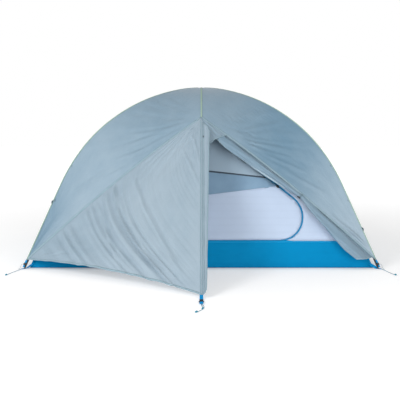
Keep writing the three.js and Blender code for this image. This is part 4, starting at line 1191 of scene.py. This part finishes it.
def end_walls():
    """The short walls: white cloth, then netting, ruled between the two pole lines."""
    split = 13    # the row of points where the white cloth ends
    for sx, name in ((-1, "left"), (1, "right")):
        piece = Piece(f"end_wall_{name}_cloth")
        z = np.linspace(TUB_HEIGHT, END_WHITE_TOP, split + 1)
        z = np.concatenate([z, np.linspace(END_WHITE_TOP, WALL_TOP, 22)[1:]])
        h, k = square_grid(z, np.linspace(-1, 1, 61))
        x = half_length(h) - 0.001
        p = np.stack([x, k * (wall_y(h) - 0.005), h], axis=-1)
        edge = clamp(5 * (1 - k ** 2)) * clamp((h - TUB_HEIGHT) * 12)
        edge = edge * clamp((WALL_TOP - h) * 12)
        p[..., 0] += (0.007 * ripples(p * [1, 1, 0.5], 0.22, 91) - 0.006 * (1 - k ** 2)) * edge
        p = p * [sx, 1, 1]
        uv = np.stack([p[..., 1], np.broadcast_to(run_of(p[:, 30])[:, None], h.shape)], axis=-1)
        piece.grid(p[:split + 1], WHITE, uv=uv[:split + 1])
        piece.grid(p[split:], NET, uv=uv[split:])
        up = unit(p[split + 1] - p[split])
        piece.band(p[split] + [sx * 0.001, 0, 0], up, 0.0055, 0.001, DARK_TAPE)
        made = piece.build("tent", INNER_CLOTH, merge=0.0001, slot="wall_fabric", sharp=40)
        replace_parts(made, f"end_wall_{name}")


end_walls()


def inner_roof():
    """The ceiling: netting that hangs under the poles, with a cloth crown and bound seams."""
    piece = Piece("inner_roof")
    share = np.linspace(0.02, 1, 40)
    for axis, sign in (("x", -1), ("y", -1), ("x", 1), ("y", 1)):
        s, k = square_grid(share, np.linspace(-1, 1, 41))
        corner = on_pole(s * INNER_TOP, -INNER_HANG, 1, 1)
        x, y, z = corner[..., 0], corner[..., 1], corner[..., 2] + 0.0028
        sag = 0.020 * (1 - k ** 2) * np.sin(math.pi * s * 0.5) * (1 - s * 0.9)
        sway = ripples(corner * [1, k.mean(), 1] + k[..., None] * 0.2, 0.2, 97)
        sag = sag + 0.004 * sway * (1 - k ** 2) * (1 - s)
        p = np.stack([k * x, sign * y, z - sag] if axis == "y" else [sign * x, k * y, z - sag], axis=-1)
        crown = int(np.argmin(np.abs(share - 0.45)))
        piece.grid(p[:crown + 1], PANEL, uv=p[:crown + 1, :, :2])
        piece.grid(p[crown:], NET, uv=p[crown:, :, :2])
        up = unit(p[crown] - p[crown + 1])
        piece.band(p[crown] + [0, 0, 0.0012], up, 0.005, THIN_LIFT, DARK_TAPE)
    made = piece.build("tent", 0.0006, merge=0.0002, slot="mesh_fabric", sharp=40)
    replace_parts(made, "roof_mesh")
    tapes = Piece("inner_roof_tapes")
    run = np.linspace(0.05, INNER_TOP, 60)
    leg_run = np.linspace(INNER_TOP, length_at(TUB_HEIGHT, -INNER_HANG), 50)
    for sx, sy in CORNERS.values():
        line = on_pole(run, -INNER_HANG + 0.0035, sx, sy)
        side = np.array([sy * UY, -sx * UX, 0])
        tapes.band(line, side, 0.008, THIN_LIFT, DARK_TAPE)
        leg = on_pole(leg_run, -INNER_HANG + 0.002, sx, sy)
        tapes.band(leg, side, 0.007, THIN_LIFT, DARK_TAPE)
    tapes.build("tent", 0.0005)


inner_roof()


# ---- Poles ----
RIDGE_DROP = 0.009    # from the fly's ridge to the ridge pole's middle


def collar(arm, start, end, count, grow, least, sx, sy, material):
    """A sleeve round a pole between two lengths along it, rounded off at its ends."""
    swell = POLE_R + grow * np.clip(1 - np.abs(np.linspace(-1, 1, count)) ** 8, least, 1)
    arm.tube(on_pole(np.linspace(start, end, count), 0, sx, sy), swell, material, 20, caps=False)


def poles():
    """Round poles with their joint collars, and the clips that hang the inner tent from them."""
    for corner, (sx, sy) in CORNERS.items():
        arm = Piece(f"pole_{corner}")
        arm.tube(on_pole(np.linspace(0.006, TIP_TOP, 150), 0, sx, sy), POLE_R, POLE, 20)
        for joint in (0.42, 0.86, 1.30, 1.72):
            collar(arm, joint - 0.017, joint + 0.017, 13, 0.0007, 0, sx, sy, FERRULE)
        collar(arm, LINE_LENGTH - 0.112, TIP_TOP + 0.004, 20, 0.0016, 0.05, sx, sy, BLACK)
        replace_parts(arm.build("tent", slot="pole_alloy", merge=0.00002), f"main_pole_{corner}")
        clips = Piece(f"pole_clips_{corner}")
        side = outward(sx, sy)[1]
        turn = np.linspace(-2.35, 2.35, 19)[:, None]
        for at in (0.24, 0.50, 0.76, 1.02, 1.28, 1.54):
            here, under = on_pole(at, 0, sx, sy), on_pole(at, -INNER_HANG + 0.003, sx, sy)
            down, along = unit(under - here), unit(on_pole(at + 0.01, 0, sx, sy) - here)
            hook = here + 0.0072 * (down * np.cos(turn) + side * np.sin(turn))
            for shift in (-0.005, 0.0, 0.005):
                clips.tube(hook + along * shift, 0.0019, BLACK, 8)
            stem = here + down * np.linspace(0.0075, 0.020, 8)[:, None]
            clips.tube(stem, np.linspace(0.0042, 0.0032, 8), BLACK, 10, 0.55, along)
            tab = here + down * np.linspace(0.017, 0.0335, 6)[:, None]
            clips.band(tab, along, 0.0075, 0.0005, WEBBING)
        clips.build("tent", slot="black_plastic")
    ridge = Piece("ridge_tube")
    run = np.linspace(-1, 1, 61) * (1 - 0.02 / RIDGE_HALF_ANGLE)
    ridge.tube(ridge_point(run, RIDGE_DROP), RIDGE_R, POLE, 20)
    for end in (-1, 1):
        tip = ridge_point(end * np.linspace(0.955, 0.972, 6), RIDGE_DROP)
        ridge.tube(tip, RIDGE_R + 0.0008, BLACK, 16)
    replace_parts(ridge.build("tent", slot="pole_alloy"), "ridge_pole")


poles()


# ---- Webbing, buckles and cords ----
STRAP_HALF, STRAP_INNER_HALF, STRAP_SKIN = 0.0100, 0.0096, 0.0009


def webbing(piece, path, side, half=STRAP_HALF, thick=STRAP_SKIN, material=WEBBING):
    """A flat strap along a path, as a closed strip with rounded edges."""
    path = np.asarray(path, float)
    tangent = unit(np.gradient(path, axis=0))
    side = unit(np.broadcast_to(np.asarray(side, float), path.shape))
    face = np.cross(side, tangent)
    # Round the strap's edge: how far across, how far out, and the surface coordinate.
    section = [(-1, 0, 0.5), (-0.94, 1, 0.42), (0, 1.15, 0), (0.94, 1, -0.42), (1, 0, -0.5),
               (0.94, -1, -0.42), (0, -1, 0), (-0.94, -1, 0.42)]
    rings = np.stack([path + side * half * x + face * thick * y for x, y, _ in section], axis=1)
    uv = np.stack(square_grid(run_of(path), [v for _, _, v in section]), axis=-1)
    piece.grid(rings, material, around=True, uv=uv)
    for at, order in ((0, 1), (-1, -1)):
        piece.add(rings[at], [list(range(len(section)))[::order]], [(0, 0)] * len(section), material)


def superellipse(angle, square):
    """Cosine and sine of an angle, squared off towards a rectangle."""
    wave = np.cos(angle), np.sin(angle)
    return [(np.sign(c) * np.abs(c) ** square)[:, None] for c in wave]


def ladder_buckle(name, centre, along, side, length, tab_lift, body, node, scale=AS_MADE):
    """A ladder-lock: a rounded frame, two bars across it and a lifted thumb tab."""
    piece = Piece(name)
    face = np.cross(along, side)
    half_w, half_l = 0.0125, length / 2 - 0.0016
    x, y = superellipse(np.linspace(0, FULL_TURN, 49), 0.42)
    piece.tube(centre + x * half_w * side + y * half_l * along, 0.0022, BLACK, 10, 1.05, face, caps=False)
    bar = np.linspace(-1, 1, 9)[:, None]
    for at, lift in ((-0.30, 0.0014), (0.32, 0.0010)):
        piece.tube(centre + side * half_w * bar + along * at * length / 2 + face * lift, 0.0017, BLACK, 10)
    step = np.linspace(0, 1, 8)[:, None]
    tab = centre + along * half_l * (1.0 - 1.75 * step) + face * (0.0014 + (tab_lift - 0.0014) * step)
    webbing(piece, tab, side, 0.0105, STRAP_SKIN, BLACK)
    piece.turn(scale)
    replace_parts(piece.build(body, slot="black_plastic"), node)


def curve_through(points, count):
    """A smooth line through points, spaced evenly: centripetal Catmull-Rom."""
    p = np.asarray(points, float)
    p = np.concatenate([[2 * p[0] - p[1]], p, [2 * p[-1] - p[-2]]])
    out = []
    for i in range(1, len(p) - 2):
        q = p[i - 1:i + 3]
        knots = np.concatenate([[0], np.cumsum(np.linalg.norm(np.diff(q, axis=0), axis=1) ** 0.5)])
        for t in np.linspace(knots[1], knots[2], 24, endpoint=False):
            def between(one, two, low, high):
                return ((knots[high] - t) * one + (t - knots[low]) * two) / (knots[high] - knots[low])
            a = [between(q[j], q[j + 1], j, j + 1) for j in range(3)]
            b = [between(a[j], a[j + 1], j, j + 2) for j in range(2)]
            out.append(between(b[0], b[1], 1, 2))
    out = np.array([*out, p[-2]])
    run = run_of(out)
    at = np.linspace(0, run[-1], count)
    return np.stack([np.interp(at, run, out[:, k]) for k in range(3)], axis=1)


CORD_R, CORD_Z, TAIL_DIAMETER = 0.0015, 0.0017, 0.0026
CORD_START = FOOT_S + 0.020 + CORD_R + 0.0004
CORNER_CORDS = {
    "front_left": [(-1.168, -0.948), (-1.184, -1.002), (-1.201, -1.066), (-1.207, -1.100), (-1.213, -1.130)],
    "front_right": [(1.172, -0.946), (1.180, -0.998), (1.190, -1.058), (1.199, -1.096), (1.207, -1.130)],
    "rear_right": [(1.170, 0.948), (1.188, 1.000), (1.196, 1.060), (1.206, 1.102), (1.210, 1.132)],
    "rear_left": [(-1.173, 0.948), (-1.182, 1.004), (-1.198, 1.064), (-1.203, 1.098), (-1.210, 1.130)],
}
STAKE_CORD = [(0, -1.898), (0.002, -1.922), (0.007, -1.958),
              (0.004, -1.996), (-0.012, -2.030), (-0.027, -2.055)]
STAKE_LOOP = [(0.006, -1.899), (0.012, -1.925), (0.013, -1.958), (0.006, -1.986)]
CORD_END_R = 0.0046


def cord_end(name, end, back, body):
    """A moulded cord end: a small barrel, waisted, on the end of a cord."""
    piece = Piece(name)
    step = np.linspace(-1, 1, 17)
    shape = np.sqrt(np.clip(1 - np.abs(step) ** 4, 0.03, 1)) * (1 - 0.12 * np.cos(step * FULL_TURN))
    line = end + np.outer(step * 0.0100 - 0.004, back)
    line[:, 2] = np.maximum(line[:, 2], CORD_END_R * 1.02)
    piece.tube(line, CORD_END_R * shape, BEAD, 14)
    return piece.build(body, slot="cord", merge=0.00002)


def cord_line(name, route, radius, material, body):
    piece = Piece(name)
    piece.tube(route, radius, material, 10)
    return piece.build(body, slot="cord")


def note_cord(made, route, diameter, far_end, **more):
    round(float(run_of(route)[-1]), 3)


def free_cord(name, plan, body, replaced):
    """A stake-out cord that lies on the ground, with its moulded end."""
    route = curve_through([(x, y, CORD_Z) for x, y in plan], 60)
    made = cord_line(f"{name}_line", route, CORD_R, CORD, body)
    bead = cord_end(f"{name}_end", route[-1], unit(route[-1] - route[-4]), body)
    if replaced:
        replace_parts(made, name)
    note_cord(made, route, 2 * CORD_R, "fitting", with_pieces=[bead])


def buckle_tail(name, points):
    """The thin cord that hangs free from a corner buckle."""
    route = curve_through(points, 26)
    note_cord(cord_line(name, route, TAIL_DIAMETER / 2, GREY_CORD, "fly"), route, TAIL_DIAMETER, "knot")


def cords():
    """The stake-out cords: one at each corner, and a long and a short one at each stake point."""
    for corner, (sx, sy) in CORNERS.items():
        first = (sx * CORD_START * UX, sy * CORD_START * UY)
        free_cord(f"stake_cord_{corner}", [first, *CORNER_CORDS[corner]], "tent", True)
    for end, body, turn in (("front", "front_flap", 1), ("rear", "rear_flap_right", -1)):
        for kind, plan in (("cord", STAKE_CORD), ("loop", STAKE_LOOP)):
            free_cord(f"stake_{kind}_{end}", [(turn * x, turn * y) for x, y in plan], body, kind == "cord")


cords()


def corner_hardware():
    """At each corner: fly webbing, its buckle and tail, the tub's webbing to the pole foot, and a grommet."""
    up = np.array([0, 0, 1.0])
    hem_length = length_at(HEM_HEIGHT - 0.004, 0.011)
    tub_corner = math.hypot(FLOOR_X, FLOOR_Y) + TUB_SWELL - 0.012
    k = np.linspace(0, 1, 30)
    reach = tub_corner + (FOOT_S + 0.018 - tub_corner) * k
    rise = clamp(1 - k / 0.72)
    inner = reach < FOOT_S - 0.0075
    angle = np.linspace(0, FULL_TURN, 37)[:, None]
    for corner, (sx, sy) in CORNERS.items():
        out, side = outward(sx, sy)
        down = out * math.cos(LEG_ANGLE) - up * math.sin(LEG_ANGLE)
        top = on_pole(hem_length, 0.011, sx, sy)
        strap = Piece(f"fly_webbing_{corner}")
        face = np.cross(side, down)
        webbing(strap, top + np.linspace(-0.006, 0.044, 24)[:, None] * down, side)
        doubled = top + np.linspace(-0.004, 0.012, 8)[:, None] * down - face * 0.0021 * np.sign(face @ out)
        webbing(strap, doubled, side, STRAP_INNER_HALF)
        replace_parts(strap.build("fly", slot="webbing", sharp=30), f"fly_corner_strap_{corner}")
        centre = top + 0.022 * down
        ladder_buckle(f"ladder_buckle_{corner}", centre, down, side, 0.0145, 0.0038,
                      f"buckle_{corner}", f"corner_buckle_{corner}")
        ground = Piece(f"tub_webbing_{corner}")
        path = out * reach[:, None] + up * (0.0016 + 0.024 * rise ** 1.1)[:, None]
        tilt = side + up * (1.6 * clamp(rise * 1.8) * np.sign(side[0]))[:, None]
        webbing(ground, path[inner], tilt[inner], 0.0098)
        foot = out * FOOT_S + up * 0.0018
        for radius, wire, material in ((0.0086, 0.0012, WEBBING), (0.0066, 0.0013, STEEL)):
            ring = foot + radius * (np.cos(angle) * out + np.sin(angle) * side)
            ground.tube(ring, wire, material, 8, 0.9, caps=False)
        path = out * (FOOT_S + np.linspace(0.008, 0.0195, 6))[:, None] + up * 0.0016
        webbing(ground, path, side, 0.0098, 0.0008)
        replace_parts(ground.build("tent", slot="webbing", sharp=30), f"corner_strap_{corner}")
        start = centre - side * 0.011 * np.sign(sx * sy) + out * 0.004
        buckle_tail(f"buckle_tail_{corner}", [
            start, start + out * 0.016 - up * 0.006, out * (FOOT_S + 0.020) + [sx * 0.006, 0, 0.010],
            out * (FOOT_S + 0.046) + [-sx * 0.004, 0, 0.0018]])


corner_hardware()


STAKE_TIE = [(0, -1.9003, 0.0017), (0.0006, -1.9012, 0.0055), (0.0010, -1.8998, 0.0086),
             (0.0013, -1.8972, 0.0082), (0.0020, -1.8965, 0.0052), (0.0032, -1.8973, 0.0030),
             (0.0046, -1.8992, 0.0021), (0.0060, -1.9005, 0.0017)]


def along_middle(y, z):
    """A path in the plane of the tent's middle."""
    return np.stack([0 * y, y, 0 * y + z], axis=1)


def stake_hardware():
    """The vestibule's webbing down to its stake point, with its ladder-lock and the cord looped through it."""
    for end, body, scale in (("front", "front_flap", AS_MADE), ("rear", "rear_flap_right", HALF_TURN)):
        strap = Piece(f"stake_webbing_{end}")
        y = np.linspace(-1.731, -1.8972, 40)
        z = np.interp(-y, [1.731, 1.745, 1.765, 1.79, 1.8972], [0.0170, 0.0145, 0.0095, 0.0066, 0.0060])
        webbing(strap, along_middle(y, z), (1, 0, 0))
        webbing(strap, along_middle(np.linspace(-1.835, -1.870, 10), 0.0082), (1, 0, 0), STRAP_INNER_HALF)
        strap.turn(scale)
        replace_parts(strap.build(body, slot="webbing", sharp=30), f"stake_strap_{end}")
        tie = Piece(f"stake_tie_{end}")
        tie.tube(curve_through(STAKE_TIE, 40), CORD_R * 0.93, CORD, 10)
        tie.turn(scale)
        tie.build(body, slot="cord")
        ladder_buckle(f"stake_ladder_{end}", np.array([0, -1.850, 0.0062]), np.array([0, -1.0, 0]),
                      np.array([1.0, 0, 0]), 0.022, 0.0110, f"{end}_stake_buckle", f"stake_buckle_{end}", scale)


stake_hardware()


def slider(name, centre, along, across, body, node, pull, size):
    """A zip slider: a waisted body, a bridge over it and a corded pull."""
    piece = Piece(name)
    up = np.cross(along, across)
    step = np.linspace(-1, 1, 13)
    half_l, half_w, half_h = (s / 2 for s in size)
    for level in (-0.45, 0.45):
        line = centre + step[:, None] * half_l * 0.82 * along + up * half_h * level
        width = half_w * (0.82 + 0.18 * np.abs(step)) * np.sqrt(np.clip(1 - np.abs(step) ** 6, 0.15, 1))
        piece.tube(line, width, BLACK, 12, 0.30 * half_h / half_w * 2, up)
    bridge = np.linspace(0, math.pi, 11)[:, None]
    line = centre + along * np.cos(bridge) * half_l * 0.55 + up * (half_h * 0.5 + np.sin(bridge) * half_h * 0.9)
    piece.tube(line, 0.0011, BLACK, 8)
    start = centre + up * half_h * 1.2
    step = np.linspace(0, 1, 12)
    loop = start + (pull * 0.032 + up * 0.006) * step[:, None]
    piece.tube(loop, np.interp(step, [0, 0.3, 0.45, 1], [0.0011, 0.0011, 0.0026, 0.0022]), BLACK, 10)
    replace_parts(piece.build(body, slot="black_plastic", merge=0.00002), node)


def sliders():
    fall = unit(on_wall(math.cos(ZIP_FALL), SLIDER_AT - math.sin(ZIP_FALL)) - on_wall(0, SLIDER_AT))
    centre = on_wall(SLIDER_AT, SLIDER_AT, 0.0064)
    across = np.cross(WALL_OUT, fall)
    for end, scale in (("front", AS_MADE), ("rear", HALF_TURN)):
        slider(f"{end}_door_slider_pull", centre * scale, fall * scale, across * scale, f"{end}_door_slider",
               f"inner_slider_{end}", -fall * scale, (0.030, 0.015, 0.0065))
    front = APEX + ZIP * 0.190 - ACROSS * 0.016 - FLAP_NORMAL * 0.0046
    rear = (APEX + ZIP * (ZIP_LENGTH - 0.090)) * HALF_TURN
    for end, centre, along, across in (("front", front, ZIP, -ACROSS),
                                       ("rear", rear, ZIP * HALF_TURN, np.array([1.0, 0, 0]))):
        slider(f"fly_slider_{end}_pull", centre, along, across, f"{end}_fly_slider", f"fly_slider_{end}",
               along, (0.022, 0.010, 0.0034))


sliders()


def guy_loops():
    """A small webbing loop on the fly over each pole, where a guy line ties on."""
    piece = Piece("guy_loops")
    turn = np.linspace(0, math.pi, 13)[:, None]
    for sx, sy in CORNERS.values():
        t = 0.788 if sx * sy > 0 else 0.888
        at = fly_pole(t, sx, sy)
        along = unit(fly_pole(t + 0.01, sx, sy) - at)
        side = outward(sx, sy)[1]
        out = unit(np.cross(along, side))
        out = out if out @ at > 0 else -out
        loop = at + along * np.cos(turn) * 0.008 + out * (0.001 + np.sin(turn) * 0.0052)
        webbing(piece, loop, side, 0.0036, 0.0008, LOOP_TAPE)
        patch = at + along * np.linspace(-0.012, 0.012, 7)[:, None] + out * 0.0018
        webbing(piece, patch, side, 0.0050, 0.0006, LOOP_TAPE)
    piece.build("fly", slot="elastic", sharp=30)


guy_loops()

# The hub and the pole tips keep their CAD shapes.
for name in ("pole_hub", *[f"pole_tip_{corner}" for corner in CORNERS]):
    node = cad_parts[name]
    node.data.materials.clear()
    node.data.materials.append(BLACK)
    node.data.shade_smooth()
    node.data.set_sharp_from_angle(angle=math.radians(35))


# ---- Floor and light ----
def studio_floor():
    """A wide pale floor that glows a little more far away, and hardly at all against the tub, as a painted
    contact shadow there.
    """
    size = 16.0
    gx, gy = square_grid(np.linspace(-size, size, 33), np.linspace(-size, size + 14, 33))
    c = Cloth("pale_floor")
    where = c.node("ShaderNodeTexCoord").outputs["Object"]
    soft = c.noise(where, 1.5, 2.0)
    pale = c.finish(c.mix(soft, (0.72, 0.72, 0.72, 1), (0.69, 0.69, 0.69, 1)), soft, 0.0002, 0.9)
    c.shader.inputs["Specular IOR Level"].default_value = 0.1
    c.shader.inputs["Emission Color"].default_value = (1, 1, 1, 1)
    far = c.node("ShaderNodeVectorMath", {0: where}, operation="LENGTH").outputs["Value"]
    split = c.split(c.node("ShaderNodeVectorMath", {0: where}, operation="ABSOLUTE").outputs[0])
    past_x = c.math("SUBTRACT", split["X"], FLOOR_X)
    past_y = c.math("SUBTRACT", split["Y"], FLOOR_Y)
    # Painted shadow: the glow falls to a tenth at the tub's edge and comes back within nine centimetres, to
    # darken the floor against it.
    beside = c.ramp(c.math("MAXIMUM", past_x, past_y), -0.02, 0.09, 0.1, 1.0)
    glow = c.times(c.ramp(far, 1.5, 7.0, 0.40, 0.70), beside)
    c.feed(c.shader.inputs["Emission Strength"], glow)
    piece = Piece("studio_floor")
    piece.grid(np.stack([gx, gy, 0 * gx - 0.0006], axis=-1), pale)
    piece.build()


def area_light(name, place, target, size, power):
    data = bpy.data.lights.new(name, "AREA")
    data.shape, data.size, data.energy = "DISK", size, power
    lamp = bpy.data.objects.new(name, data)
    lamp.location = place
    lamp.rotation_euler = (Vector(target) - Vector(place)).to_track_quat("-Z", "Y").to_euler()
    scene.collection.objects.link(lamp)


studio_floor()
world = bpy.data.worlds.new("studio")
world.use_nodes = True
sky = world.node_tree
where = sky.nodes.new("ShaderNodeTexCoord")
height = sky.nodes.new("ShaderNodeSeparateXYZ")
fall = sky.nodes.new("ShaderNodeMapRange")
for key, value in {1: 0.20, 2: 0.55, 3: 1.0, 4: 0.52}.items():
    fall.inputs[key].default_value = value
sky.nodes["Background"].inputs["Color"].default_value = (1, 1, 1, 1)
sky.links.new(where.outputs["Generated"], height.inputs[0])
sky.links.new(height.outputs[2], fall.inputs[0])
sky.links.new(fall.outputs[0], sky.nodes["Background"].inputs["Strength"])
scene.world = world
area_light("key", (-4.6, -5.8, 4.0), (0, -0.6, 0.4), 3.0, 262)
area_light("fill", (2.6, -7.4, 1.5), (0, 0, 0.4), 4.0, 165)
